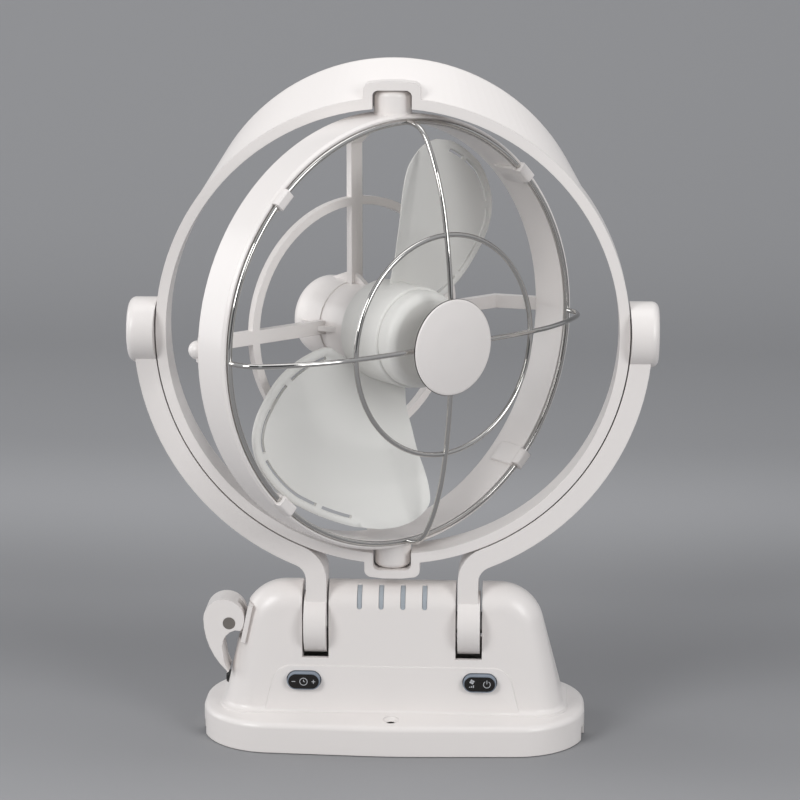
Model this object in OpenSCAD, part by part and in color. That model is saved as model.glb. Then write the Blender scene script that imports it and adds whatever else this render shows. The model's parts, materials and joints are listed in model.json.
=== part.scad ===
// Tabletop fan whose head swivels in a gimbal ring, which tilts in a folding yoke.
// Millimetres. The origin is at the centre of the base's bottom face, +Z is up
// and the front faces -Y.

/* [Flange foot] */
// How far the foot's ends stand out beyond the housing
flange_ledge = 10.9; // [8:0.1:14]
// Depth of the foot, front to back
flange_d = 86; // [84:1:96]
// Height of the foot
flange_h = 17; // [15:0.5:19]
// Plan radius of the foot's four corners
flange_corner_r = 35.5; // [28:0.5:38]
// How far the foot's front and back bow out at the middle
flange_bow = 4.5; // [2:0.5:6]
// Radius of the foot's top edge
flange_edge_r = 3; // [1:0.5:4]
// Wall of the base's shell
wall = 2.5; // [2:0.1:3]
// Thickness of the base plate
plate_t = 2.4; // [1.6:0.1:3]

/* [Housing] */
// Width of the housing where it leaves the foot
housing_w = 166.2; // [160:0.2:172]
// Height of the housing's ridge above the table
housing_top = 79.8; // [77:0.2:81]
// Lean of the housing's end walls from upright, degrees
side_lean = 12.5; // [9:0.5:15]
// Radius of the housing's upper end corners
side_corner_r = 22; // [16:1:26]
// Distance from the hinge axis to the front wall at the foot
front_reach = 11; // [10:0.1:12]
// Lean of the front wall from upright, degrees
front_lean = 2.3; // [1:0.1:4]
// Radius of the front wall's top edge
front_edge_r = 11.5; // [8:0.5:12]
// Distance from the hinge axis to the foot of the rear slope
rear_reach = 43; // [40:1:46]
// Distance from the hinge axis to the top of the rear slope
ridge_reach = 10; // [8:0.5:14]
// Radius of the rear slope's top edge
rear_edge_r = 12; // [6:1:16]
// Plan radius of the housing's upright corners
housing_corner_r = 15; // [10:0.5:18]

/* [Yoke] */
// Distance of the yoke's plane in front of the base's centre
yoke_forward = 16; // [14:0.5:18]
// Height of the fold hinge
hinge_z = 60; // [59:0.2:61]
// Radius of the yoke's round feet
foot_r = 15.4; // [14.5:0.1:15.6]
// Width of each foot
foot_w = 10.8; // [10:0.1:11.4]
// Width of each leg
leg_w = 10.2; // [9:0.1:11]
// Distance from the middle plane to each leg's centre
leg_x = 36.6; // [35:0.2:38]
// Gap between a foot and the side of its slot
slot_gap = 1; // [0.6:0.05:1.2]
// Gap between a foot and the floor of its slot
slot_floor_gap = 0.6; // [0.5:0.1:1.5]
// Centre line radius of the bend from leg to arc
leg_bend_r = 13; // [11:0.5:16]
// Depth of the yoke and of the gimbal ring, front to back
ring_depth = 19; // [17:0.5:20]
// Thickness of the yoke's arc
arm_t = 9.9; // [9:0.1:11]
// Radius of the yoke's hubs
hub_r = 15.6; // [14:0.2:17]
// How far the hubs stand out of the yoke's arc
hub_proud = 3; // [1.5:0.5:5]
// Gap between the housing and the gimbal ring's lower pocket
pocket_room = 4.6; // [3.6:0.2:9]
// Gap between the yoke and the gimbal ring
ring_gap = 0.6; // [0.5:0.1:1]

/* [Gimbal ring] */
// Gap between the shroud ring and the gimbal ring
swivel_room = 3; // [2.9:0.1:4]
// Wall of the gimbal ring
ring_t = 5; // [4.5:0.1:6]
// Width of the notch for the head's boss
notch_w = 18.3; // [18.2:0.1:19]
// Depth of the notch from the gimbal ring's inner wall
notch_depth = 8.2; // [8:0.1:9]
// Radius of the notch's corners
notch_r = 2.75; // [2:0.25:3.5]
// Wall of the pocket round the notch
pocket_t = 4.2; // [3.5:0.1:5]
// Radius of the pocket's outer corners
pocket_r = 3.5; // [2:0.5:5]
// How far the visor's rear edge stands out of the gimbal ring at the top
visor_rise = 16.5; // [14:0.5:17]
// Angle from the top at which the visor runs out into the ring, degrees
visor_half_angle = 50; // [45:1:55]
// Distance from the ring's middle plane to the visor's rear edge
visor_back = 12; // [10:0.5:14]
// Wall of the visor
visor_t = 3; // [2.4:0.1:3.5]

/* [Head] */
// Turn of the head from straight ahead, degrees
head_yaw = 40.65; // [30:0.05:60]
// Outer radius of the shroud ring
shroud_r = 104; // [103:0.1:104.5]
// Wall of the shroud ring
shroud_t = 4.7; // [4:0.1:5.5]
// Distance from the swivel axis forward to the shroud's front edge
shroud_front = 10; // [9:0.5:11]
// Distance from the swivel axis back to the shroud's rear edge
shroud_back = 11.5; // [10:0.5:13]
// Radius of the swivel bosses
boss_r = 8.9; // [8.4:0.1:9]
// Radius of the nub beside the left spoke
nub_r = 4.4; // [3.5:0.1:4.4]
// Distance from the swivel axis back to the spider's middle
spider_back = 30; // [28:0.5:32]
// Width of each spoke
spoke_w = 6.5; // [5:0.5:8]
// Thickness of the spokes and the spider's ring
spoke_t = 4; // [3:0.5:5]
// Radius of the spider's ring
spider_ring_r = 59.3; // [50:0.1:65]
// Distance from the shroud's outer wall in to the bend of each spoke
spoke_bend_in = 16; // [14:0.5:20]

/* [Guard] */
// Diameter of the guard's wires
wire_d = 2.4; // [2:0.1:2.6]
// Distance from the shroud's outer wall in to the guard's outer ring
guard_inset = 3.4; // [3:0.1:3.8]
// Radius of the guard's inner ring
inner_ring_r = 51.6; // [45:0.1:56]
// Distance from the swivel axis forward to the front wire's middle
guard_front = 43.6; // [42:0.2:46]
// Radius of the guard's cap
cap_r = 23; // [20:0.5:25]
// Thickness of the guard's cap at its edge
cap_t = 1.8; // [1.4:0.1:3]
// Width of each guard clip
clip_w = 8.5; // [7:0.5:10]

/* [Motor and impeller] */
// Radius of the motor's cover
cover_r = 19.9; // [19:0.1:21]
// Distance from the swivel axis back to the cover's end
cover_back = 56; // [54:0.5:60]
// Radius of the motor's can
can_r = 14.5; // [13.5:0.1:15.2]
// Radius of the motor shaft
shaft_r = 1.6; // [1.2:0.1:2]
// Radius of the impeller's hub
fan_hub_r = 24; // [22:0.5:25]
// Length of the impeller's hub behind the swivel axis
fan_hub_back = 9.5; // [8:0.5:10]
// Length of the impeller's hub in front of the swivel axis
fan_hub_front = 18; // [15:0.5:19]
// Radius of the impeller's front cup
fan_cup_r = 22.8; // [20:0.1:23]
// Distance from the swivel axis forward to the cup's end
fan_cup_front = 28; // [24:0.5:30]
// Gap between the blades' tips and the shroud
tip_gap = 5.3; // [4:0.1:10]
// Thickness of the blades along the fan's axis
blade_t = 2.2; // [1.8:0.1:3]
// Rise of the blades along the fan's axis for each millimetre across them
blade_slope = 0.43; // [0.36:0.01:0.46]
// Turn of the upper blade's middle from level, degrees
blade_angle = 68.7; // [60:0.1:80]

/* [Lever and brake] */
// Distance from the housing's end wall out to the lever's pin
pin_out = 5.7; // [5.5:0.1:8]
// Radius of the lever's pin
pin_r = 3; // [2.5:0.1:3.4]
// Depth of the lever, front to back
lever_depth = 16; // [14:0.5:18]
// Radius of the lever's round head
cam_r = 10; // [9:0.1:10.2]
// Offset of the head's centre from the pin, sideways
cam_dx = 2.5; // [2:0.1:3]
// Offset of the head's centre above the pin
cam_dz = 2; // [1.5:0.1:2.5]
// Gap between the cam and its seat
cam_gap = 0.15; // [0.1:0.05:0.5]
// Radius of the draw rod
rod_r = 2; // [1.6:0.1:2.1]
// Radius of the brake disc
brake_r = 6.4; // [5.6:0.1:6.4]
// Thickness of the brake disc
brake_t = 2; // [1.5:0.1:3]
// Outer radius of the hinge tube
tube_r = 5.2; // [4.9:0.1:5.3]

/* [Keys and lamps] */
// Distance from the middle plane to each key's centre
key_x = 42.7; // [41:0.1:45]
// Height of the keys
key_z = 33; // [32:0.1:33.2]
// Width of each key
key_w = 16; // [15.2:0.1:17]
// Height of each key
key_h = 8.4; // [8:0.1:9.2]
// How far a key stands out of the panel
key_proud = 2; // [1.5:0.1:3]
// Width of each key's face
face_w = 14.8; // [12:0.1:15]
// Thickness of each key's face
face_t = 0.4; // [0.3:0.1:0.8]
// Width of the raised panel round the keys, at its top
panel_w = 112.8; // [110:0.2:113]
// Height of the panel's top edge
panel_top = 40.2; // [39.6:0.1:42]
// How far the front panel stands out of the wall
panel_proud = 0.6; // [0.4:0.1:1]
// Distance between the light windows
lamp_pitch = 10.5; // [9:0.1:12]
// Width of each light window
window_w = 2.4; // [1.8:0.1:3]
// Height of the light windows' lower end
window_z = 68.5; // [67.5:0.1:70]

/* [Mounting holes] */
// Distance between the two mounting holes, front to back
mount_pitch = 70; // [68:0.5:74]
// Radius of each mounting hole
mount_r = 2.15; // [1.8:0.05:2.6]

/* [Fits] */
// Radial gap of a shaft that turns in its hole
run_gap = 0.05; // [0.03:0.01:0.08]
// Radial gap of a piece that is pressed into its seat
seat_gap = 0.02; // [0.01:0.01:0.03]
// Gap between pieces that move past each other
side_gap = 0.3; // [0.2:0.05:0.5]

/* [Hidden] */
$fn = 96;
white = [0.88, 0.87, 0.86];
blade_white = [0.82, 0.84, 0.83];
chrome = [0.75, 0.76, 0.78];
steel = [0.6, 0.6, 0.6];
yoke_y = -yoke_forward;
flange_w = housing_w + 2 * flange_ledge;
pin_x = housing_w / 2 - (hinge_z - flange_h) * tan(side_lean) + pin_out;
ring_in_r = shroud_r + swivel_room;
ring_out_r = ring_in_r + ring_t;
notch_reach = ring_in_r + notch_depth;
visor_reach = ring_out_r + visor_rise;
arm_in_r = ring_out_r + ring_gap;
arm_out_r = arm_in_r + arm_t;
pocket_reach = notch_reach + pocket_t;
hub_span = 2 * (arm_out_r + hub_proud);
tilt_z = housing_top + pocket_room + pocket_reach;
shroud_in_r = shroud_r - shroud_t;
spoke_bend_r = shroud_r - spoke_bend_in;
guard_r = shroud_r - guard_inset;
blade_tip_r = shroud_in_r - tip_gap;
front_y = yoke_y - front_reach;
rear_y = yoke_y + rear_reach;
panel_y = front_y - panel_proud;
foot_x = leg_x + 0.55;
slot_in = foot_x - foot_w / 2 - slot_gap;
slot_out = foot_x + foot_w / 2 + slot_gap;
slot_floor = hinge_z - foot_r - slot_floor_gap;
rib_t = 2;
steps = 8;

// Points of the fillet of radius r at corner b, on the way from a to c.
function unit(v) = v / norm(v);
function fillet(a, b, c, r) =
    let (u = unit(a - b), w = unit(c - b), half = acos(max(-1, min(1, u * w))) / 2)
    r <= 0 || half > 89.9 ? [b] :
    let (centre = b + unit(u + w) * r / sin(half),
         first = b + u * r / tan(half) - centre,
         last = b + w * r / tan(half) - centre,
         start = atan2(first[1], first[0]),
         raw = atan2(last[1], last[0]) - start,
         sweep = raw > 180 ? raw - 360 : raw < -180 ? raw + 360 : raw)
    [for (i = [0 : steps]) centre + r * [cos(start + sweep * i / steps), sin(start + sweep * i / steps)]];
// Outline through corners [x, y, radius], each rounded with its own radius.
function rounded(corners) =
    let (n = len(corners), at = [for (c = corners) [c[0], c[1]]])
    [for (i = [0 : n - 1]) each fillet(at[(i + n - 1) % n], at[i], at[(i + 1) % n], corners[i][2])];

// Places its children with x to the right, y up and z out of the front.
module on_ring() {
    translate([0, yoke_y, tilt_z]) rotate([90, 0, 0]) children();
}
module on_head() {
    translate([0, yoke_y, tilt_z]) rotate([90, 0, head_yaw]) children();
}
module both_sides() {
    for (side = [0, 1]) mirror([side, 0, 0]) children();
}
// A bar with round ends, drawn in the x-y plane about its middle.
module pill_2d(w, h) {
    square([w - h, h], center = true);
    for (side = [-1, 1]) translate([side * (w - h) / 2, 0]) circle(d = h);
}
module front_plate(y_front, depth) {
    translate([0, y_front + depth, 0]) rotate([90, 0, 0]) linear_extrude(depth) children();
}

// Base
module flange_plan(inset, bow = flange_bow) {
    w = flange_w / 2 - inset;
    d = flange_d / 2 - inset;
    r = max(1, flange_corner_r - inset);
    polygon(rounded([[-w, -d + bow, r], [0, -d, 300], [w, -d + bow, r],
                     [w, d - bow, r], [0, d, 300], [-w, d - bow, r]]));
}
module flange_form() {
    edge = flange_edge_r;
    hull() {
        linear_extrude(flange_h - edge) flange_plan(0);
        translate([0, 0, flange_h - edge * 0.35]) linear_extrude(0.02) flange_plan(edge * 0.25);
        translate([0, 0, flange_h - 0.02]) linear_extrude(0.02) flange_plan(edge);
    }
}
module flange_cavity() {
    translate([0, 0, -1]) linear_extrude(flange_h - wall + 1) flange_plan(wall);
}
// Housing's form, drawn in by inset: its rounded upper edges are rows of balls.
module corner_plan(half_w, y0, y1, r) {
    for (x = [-1, 1], y = [y0 + r, y1 - r]) translate([x * (half_w - r), y]) circle(r = r, $fn = 40);
}
module edge_balls(x, y, r, arc_r) {
    for (side = [-1, 1], i = [0 : 3]) let (t = i * (90 - side_lean) / 3)
        translate([side * (x + arc_r * sin(t)), y, housing_top - side_corner_r + arc_r * cos(t)])
            sphere(r = r, $fn = 28);
}
module housing_form(inset) {
    rise_f = housing_top - front_edge_r - flange_h;
    rise_r = housing_top - rear_edge_r - flange_h;
    rise_s = housing_top - side_corner_r - flange_h;
    fall = atan2(rear_reach - ridge_reach, housing_top - flange_h);
    x = housing_w / 2 - rise_s * tan(side_lean) - side_corner_r / cos(side_lean);
    y_f = front_y + rise_f * tan(front_lean) + front_edge_r / cos(front_lean);
    y_r = rear_y - rise_r * tan(fall) - rear_edge_r / cos(fall);
    w = housing_w / 2 + 4 * tan(side_lean) - inset / cos(side_lean);
    hull() {
        translate([0, 0, flange_h - 4]) linear_extrude(0.01)
            corner_plan(w, front_y - 4 * tan(front_lean) + inset, rear_y + 4 * tan(fall) - inset / cos(fall),
                        housing_corner_r - inset);
        edge_balls(x, y_f, front_edge_r - inset, side_corner_r - front_edge_r);
        edge_balls(x, y_r, rear_edge_r - inset, side_corner_r - rear_edge_r);
    }
}
// Side view of the housing's front: wall and rounded top edge, drawn in by inset.
function front_profile(inset) =
    let (lean = tan(front_lean), top = housing_top - inset, rise = housing_top - flange_h)
    rounded([[front_y + inset - 4 * lean, flange_h - 4, 0],
             [front_y + inset + (rise - inset) * lean, top, front_edge_r - inset],
             [yoke_y + 6, top, 0], [yoke_y + 6, flange_h - 4, 0]]);
module side_form(inset, width) {
    rotate([90, 0, 90]) translate([0, 0, -width / 2]) linear_extrude(width) polygon(front_profile(inset));
}
panel_flare = 0.25;
panel_corner_r = 10;
module panel_2d() {
    top = panel_w / 2;
    foot = top + panel_flare * (panel_top - flange_h);
    polygon(rounded([[-foot, flange_h - 1, 0], [-top, panel_top, panel_corner_r],
                     [top, panel_top, panel_corner_r], [foot, flange_h - 1, 0]]));
}
window_top_y = yoke_y - front_reach + front_edge_r + (window_z - flange_h) * tan(front_lean) -
    front_edge_r * cos(68);
module window_cuts(width) {
    for (i = [-1.5 : 1 : 1.5]) translate([i * lamp_pitch, 0, 0]) {
        translate([-width / 2, front_y - 4, window_z + width / 2])
            cube([width, window_top_y - front_y + 4, housing_top]);
        translate([0, window_top_y, window_z + width / 2]) rotate([90, 0, 0])
            cylinder(d = width, h = window_top_y - front_y + 4);
    }
}
plate_screws = [for (x = [-1, 1], y = [-1, 1]) [x * (housing_w / 2 - 7), y * flange_d / 4]];
board_w = 120;
board_h = 20;
board_z = key_z - 2.5;
key_axle_y = panel_y + 6.6;
lip_back = key_axle_y + 0.6;
board_front = lip_back + 3.6;
board_t = 1.6;
board_holes = [for (x = [-1, 1], z = [-1, 1]) [x * board_w / 6, board_z + z * (board_h / 2 - 4)]];
lamp_board_z = hinge_z + tube_r + 2;
lamp_board_y = front_y + 9.2;
lamp_board_d = 12;
lamp_board_gap = 1.75;
lamp_board_w = 2 * (slot_in - rib_t - lamp_board_gap);
lamp_posts = [for (x = [-1, 1]) [x * (lamp_board_w / 2 - 3.5), lamp_board_y + lamp_board_d - 4]];
mount_holes = [for (y = [-1, 1]) y * mount_pitch / 2];
bush_wall = 1;
bush_r = tube_r + run_gap + bush_wall;
post_r = 3.4;
module slot_boxes() {
    both_sides() translate([slot_in, -flange_d, slot_floor])
        cube([slot_out - slot_in, 2 * flange_d, housing_top]);
}
module slot_ribs() {
    both_sides() for (x = [slot_in - rib_t, slot_out])
        translate([x, -flange_d, slot_floor - rib_t]) cube([rib_t, 2 * flange_d, housing_top]);
}
module base_solid() {
    difference() {
        union() {
            flange_form();
            housing_form(0);
            front_plate(panel_y, front_reach / 2) panel_2d();
        }
        difference() {
            union() {
                flange_cavity();
                housing_form(wall);
            }
            slot_ribs();
        }
        slot_boxes();
    }
}
module board_post(h) {
    rotate([90, 0, 0]) cylinder(r = 2.6, h = h, $fn = 48);
}
module base_housing() {
    color(white) difference() {
        union() {
            base_solid();
            intersection() {
                seat_backing();
                housing_form(0.2);
            }
            for (p = plate_screws) translate([p[0], p[1], plate_t])
                cylinder(r = post_r, h = flange_h - wall - plate_t + 1);
            for (y = mount_holes) translate([0, y, plate_t])
                cylinder(r = mount_r + 2.2, h = flange_h - plate_t - 1);
            for (h = board_holes) translate([h[0], board_front, h[1]])
                board_post(board_front - front_y - wall / 2);
            intersection() {
                for (p = lamp_posts) translate([p[0], p[1], lamp_board_z + board_t])
                    cylinder(r = 2.6, h = housing_top);
                housing_form(wall / 2);
            }
        }
        window_cuts(window_w);
        for (side = [-1, 1]) translate([side * key_x, 0, key_z])
            front_plate(panel_y - 1, 12) pill_2d(key_w + 0.8, key_h + 0.8);
        for (y = mount_holes) translate([0, y, -1]) cylinder(r = mount_r, h = flange_h + 2);
        for (y = mount_holes) translate([0, y, flange_h - 1.6]) cylinder(r = mount_r + 1.75, h = 3);
        for (p = plate_screws) translate([p[0], p[1], -1])
            cylinder(r = screw_r - 0.1, h = flange_h - wall + 0.5);
        for (h = board_holes) translate([h[0], board_front + 1, h[1]]) rotate([90, 0, 0])
            cylinder(r = screw_r - 0.1, h = 5);
        for (p = lamp_posts) translate([p[0], p[1], lamp_board_z]) cylinder(r = screw_r - 0.1, h = 6);
        translate([-slot_out - 10, yoke_y, hinge_z]) rotate([0, 90, 0])
            cylinder(r = bush_r + seat_gap, h = 2 * slot_out + 20);
        cam_recess();
        translate([nut_x, yoke_y, hinge_z]) rotate([0, 90, 0]) cylinder(r = nut_r + 0.3, h = 6);
        translate([inlet_mouth - 4, inlet_y, inlet_z]) rotate([0, 90, 0])
            cylinder(r = inlet_r + seat_gap, h = inlet_l + 6);
        both_sides() translate([flange_w / 2 - 6, yoke_y + 1, -1]) cube([12, 10, 7.5]);
    }
}
screw_r = 1.4;
module base_plate() {
    color([0.8, 0.8, 0.8]) difference() {
        linear_extrude(plate_t) flange_plan(wall + 0.3);
        for (p = plate_screws) translate([p[0], p[1], -1]) cylinder(r = screw_r + 0.3, h = plate_t + 2);
        for (p = plate_screws) translate([p[0], p[1], -1]) cylinder(r = 2.9, h = 2.2);
        for (y = mount_holes) translate([0, y, -1]) cylinder(r = mount_r, h = plate_t + 2);
        both_sides() translate([flange_w / 2 - 12, yoke_y, -1]) cube([20, 12, plate_t + 2]);
    }
}
// A screw along +z with its head at the bottom.
module screw(length, head_r = 2.6, head_h = 1.1, r = screw_r - 0.1) {
    cylinder(r = head_r, h = head_h);
    cylinder(r = r, h = length);
}
module base_plate_screws() {
    color(steel) for (p = plate_screws) translate([p[0], p[1], 0.1]) screw(10);
}
module control_board() {
    color([0.1, 0.35, 0.2]) difference() {
        translate([-board_w / 2, board_front, board_z - board_h / 2]) cube([board_w, board_t, board_h]);
        for (h = board_holes) translate([h[0], board_front + 4, h[1]]) rotate([90, 0, 0])
            cylinder(r = screw_r + 0.2, h = 8);
    }
}
module board_screws() {
    color(steel) for (h = board_holes) translate([h[0], board_front + board_t + 1.1, h[1]])
        rotate([90, 0, 0]) screw(6);
}
switch_dx = 5.5;
module tact_switches() {
    color([0.2, 0.2, 0.2]) for (side = [-1, 1], dx = [-switch_dx, switch_dx])
        translate([side * key_x + dx, board_front, key_z]) rotate([90, 0, 0]) {
            linear_extrude(2.2) square(6, center = true);
            cylinder(r = 1.7, h = board_front - lip_back - 0.45);
        }
}
axle_r = 1.2;
lip_h = key_h + 2.4;
module key_holders() {
    color(white) for (side = [-1, 1], up = [-1, 1]) translate([side * key_x, 0, key_z]) difference() {
        translate([-3, key_axle_y - 2.1, up > 0 ? lip_h / 2 + side_gap : -lip_h / 2 - side_gap - 2.2])
            cube([6, board_front - key_axle_y + 2.1, 2.2]);
        translate([0, key_axle_y, -lip_h]) cylinder(r = axle_r + run_gap, h = 2 * lip_h);
    }
}
module key_body(side) {
    color([0.57, 0.61, 0.66]) translate([side * key_x, 0, key_z]) {
        front_plate(panel_y - key_proud, lip_back - panel_y + key_proud) pill_2d(key_w, key_h);
        front_plate(lip_back - 1.2, 1.2) pill_2d(key_w + 2.6, lip_h);
        translate([0, key_axle_y, -lip_h / 2 - side_gap - 1.9])
            cylinder(r = axle_r, h = lip_h + 2 * side_gap + 3.8);
    }
}
module key_face(side) {
    color([0.1, 0.1, 0.1]) translate([side * key_x, 0, key_z])
        front_plate(panel_y - key_proud - face_t, face_t) pill_2d(face_w, key_h - key_w + face_w);
}
module timer_key() { key_body(-1); }
module timer_key_face() { key_face(-1); }
module power_key() { key_body(1); }
module power_key_face() { key_face(1); }
module lamp_board() {
    color([0.1, 0.35, 0.2]) difference() {
        translate([-lamp_board_w / 2, lamp_board_y, lamp_board_z])
            cube([lamp_board_w, lamp_board_d, board_t]);
        for (p = lamp_posts) translate([p[0], p[1], lamp_board_z - 1]) cylinder(r = screw_r + 0.2, h = 4);
    }
}
module lamp_board_screws() {
    color(steel) for (p = lamp_posts) translate([p[0], p[1], lamp_board_z - 1.1]) screw(6);
}
module indicator_lamps() {
    color([0.9, 0.92, 0.95]) for (i = [-1.5 : 1 : 1.5])
        translate([i * lamp_pitch - 1, lamp_board_y + 0.3, lamp_board_z + board_t]) cube([2, 2.4, 1]);
}
module guide_form(outer, inner, width) {
    difference() {
        side_form(outer, width);
        side_form(inner, width + 2);
    }
}
module light_guide() {
    guide_t = 1.6;
    guide_gap = 0.1;
    color([0.53, 0.56, 0.6]) {
        intersection() {
            guide_form(wall + guide_gap, wall + guide_gap + guide_t, 4 * lamp_pitch - 4);
            translate([-40, front_y - 1, window_z - 1]) cube([80, lamp_board_y - front_y + 5, 20]);
        }
        intersection() {
            guide_form(0.3, wall + guide_gap + guide_t / 2, 4 * lamp_pitch);
            window_cuts(window_w - 0.2);
        }
    }
}
inlet_y = yoke_y + 13;
inlet_z = 26;
inlet_r = 3.2;
inlet_l = 14;
inlet_mouth = -housing_w / 2 + 0.4;
module dc_inlet() {
    color([0.08, 0.08, 0.08]) difference() {
        union() {
            translate([inlet_mouth, inlet_y, inlet_z]) rotate([0, 90, 0]) cylinder(r = inlet_r, h = inlet_l);
            translate([inlet_mouth - 0.4, inlet_y, inlet_z]) rotate([0, 90, 0])
                cylinder(r = inlet_r - 0.4, h = 2);
        }
        difference() {
            translate([inlet_mouth - 2, inlet_y, inlet_z]) rotate([0, 90, 0])
                cylinder(r = 2.2, h = inlet_l - 2);
            translate([inlet_mouth + 1, inlet_y, inlet_z]) rotate([0, 90, 0]) cylinder(r = 0.8, h = inlet_l);
        }
    }
}

// Lever, draw rod and brake
cam_lean = 12;
cam_face = cam_r - cam_dx * cos(cam_lean) - cam_dz * sin(cam_lean) + cam_gap;
// Places its children at the lever's pin, with x away from the base's middle plane
// toward the seat, y up and z out of the front.
module at_pin() {
    translate([-pin_x, yoke_y, hinge_z]) rotate([90, 0, 0]) children();
}
seat_t = 2.4;
seat_w = 17;
seat_low = -8;
seat_high = 11;
module seat_backing() {
    at_pin() rotate([0, 0, -cam_lean]) translate([cam_face, seat_low - 2, -seat_w / 2 - 2])
        cube([seat_t + 3, seat_high - seat_low + 4, seat_w + 4]);
}
module seat_slab(gap, back) {
    at_pin() rotate([0, 0, -cam_lean]) translate([cam_face, seat_low - gap, -seat_w / 2 - gap])
        cube([back, seat_high - seat_low + 2 * gap, seat_w + 2 * gap]);
}
nut_x = -pin_x + cam_face + seat_t + 2.6;
nut_r = 6.3;
nut_t = 2.4;
sleeve_r = rod_r + 1.4;
tube_end = slot_out + rib_t + 3;
brake_x = -tube_end - 2 - side_gap - brake_t;
sleeve_room = 5.8;
sleeve_end = pin_x + brake_x - sleeve_room;
module cam_recess() {
    intersection() {
        union() {
            seat_slab(0.2, seat_t);
            at_pin() rotate([0, 0, -cam_lean]) translate([-4, seat_low - 0.2, -seat_w / 2 - 0.2])
                cube([cam_face + 4.1, seat_high - seat_low + 0.4, seat_w + 0.4]);
        }
        translate([-flange_w, -flange_d, 0]) cube([flange_w, 2 * flange_d, 2 * housing_top]);
    }
    translate([-pin_x, yoke_y, hinge_z]) rotate([0, 90, 0])
        cylinder(r = sleeve_r + seat_gap, h = sleeve_end + 2);
}
module cam_seat() {
    color(white) difference() {
        union() {
            seat_slab(0, seat_t);
            translate([-pin_x + cam_face + 1.5, yoke_y, hinge_z]) rotate([0, 90, 0])
                cylinder(r = sleeve_r, h = sleeve_end - cam_face - 1.5);
        }
        translate([-pin_x, yoke_y, hinge_z]) rotate([0, 90, 0])
            cylinder(r = rod_r + run_gap, h = sleeve_end + 2);
    }
}
module seat_nut() {
    color(steel) translate([nut_x, yoke_y, hinge_z]) rotate([0, 90, 0]) difference() {
        cylinder(r = nut_r, h = nut_t, $fn = 6);
        translate([0, 0, -1]) cylinder(r = sleeve_r + seat_gap, h = nut_t + 2);
    }
}
eye_r = 5.2;
eye_w = 6;
rod_nut_h = 2.6;
brake_travel = 2.3;
module draw_rod() {
    rod_end = pin_x + brake_x + brake_t + rod_nut_h + 1;
    color(steel) difference() {
        union() {
            at_pin() translate([0, 0, -eye_w / 2]) cylinder(r = eye_r, h = eye_w);
            translate([-pin_x, yoke_y, hinge_z]) rotate([0, 90, 0]) cylinder(r = rod_r, h = rod_end);
        }
        at_pin() translate([0, 0, -eye_w]) cylinder(r = pin_r + seat_gap, h = 2 * eye_w);
    }
}
module lever_pin() {
    color(steel) at_pin() translate([0, 0, -lever_depth / 2]) cylinder(r = pin_r, h = lever_depth);
}
module brake_disc() {
    color([0.25, 0.22, 0.2]) translate([brake_x, yoke_y, hinge_z]) rotate([0, 90, 0]) difference() {
        cylinder(r = brake_r, h = brake_t);
        translate([0, 0, -1]) cylinder(r = rod_r + seat_gap, h = brake_t + 2);
    }
}
module rod_nut() {
    color(steel) translate([brake_x + brake_t, yoke_y, hinge_z]) rotate([0, 90, 0]) difference() {
        cylinder(r = rod_r + 1.1, h = rod_nut_h, $fn = 6);
        translate([0, 0, -1]) cylinder(r = rod_r + seat_gap, h = rod_nut_h + 2);
    }
}
module brake_spring() {
    spring_x = nut_x + nut_t;
    color(steel) translate([spring_x, yoke_y, hinge_z]) rotate([0, 90, 0]) difference() {
        cylinder(r = sleeve_r + 2, h = brake_x - spring_x - brake_travel);
        translate([0, 0, -1]) cylinder(r = sleeve_r + 0.5, h = brake_x - spring_x + 2);
    }
}
lever_swing = 45;
module lever_2d() {
    head = [-cam_dx, cam_dz];
    polygon(concat(
        [for (a = [-36 : 9 : 189]) head + cam_r * [cos(a), sin(a)]],
        [for (t = [0 : 5]) let (a = 187 + t * 7.8) [24.3, 2] + 36.8 * [cos(a), sin(a)]],
        [[-1.6, -25.3], [-0.5, -24.7], [-2.6, -19.8]],
        [for (t = [0 : 5]) let (a = 200 - t * 20) [4.3, -12] + [7.9 * cos(a), 8.6 * sin(a)]]));
}
module cam_lever() {
    slot_w = eye_w + 2 * side_gap;
    slot_from = -30;
    slot_to = lever_swing + 22;
    color(white) at_pin() difference() {
        translate([0, 0, -lever_depth / 2]) linear_extrude(lever_depth) lever_2d();
        translate([0, 0, -lever_depth]) cylinder(r = pin_r + run_gap, h = 2 * lever_depth);
        translate([0, 0, -slot_w / 2]) cylinder(r = eye_r + side_gap, h = slot_w);
        translate([0, 0, -slot_w / 2]) linear_extrude(slot_w)
            polygon(concat([[0, 0]], [for (i = [0 : 6]) let (a = slot_from + (slot_to - slot_from) * i / 6)
                18 * [cos(a), sin(a)]]));
    }
}

// Yoke
bend_x = leg_x + leg_bend_r;
arc_mid = arm_in_r + arm_t / 2;
bend_drop = sqrt((arc_mid + leg_bend_r) * (arc_mid + leg_bend_r) - bend_x * bend_x);
bend_angle = atan2(bend_drop, bend_x);
module yoke_arm_2d() {
    half = arm_t / 2;
    polygon(concat(
        [for (i = [0 : 24]) let (a = -bend_angle + bend_angle * i / 24) arm_out_r * [cos(a), sin(a)]],
        [for (i = [24 : -1 : 0]) let (a = -bend_angle + bend_angle * i / 24) arm_in_r * [cos(a), sin(a)]],
        [for (i = [0 : 8]) let (a = 180 - bend_angle + bend_angle * i / 8)
            [bend_x, -bend_drop] + (leg_bend_r + half) * [cos(a), sin(a)]],
        [[leg_x - leg_w / 2, hinge_z - tilt_z], [leg_x + leg_w / 2, hinge_z - tilt_z]],
        [for (i = [8 : -1 : 0]) let (a = 180 - bend_angle + bend_angle * i / 8)
            [bend_x, -bend_drop] + (leg_bend_r - half) * [cos(a), sin(a)]]));
}
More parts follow.
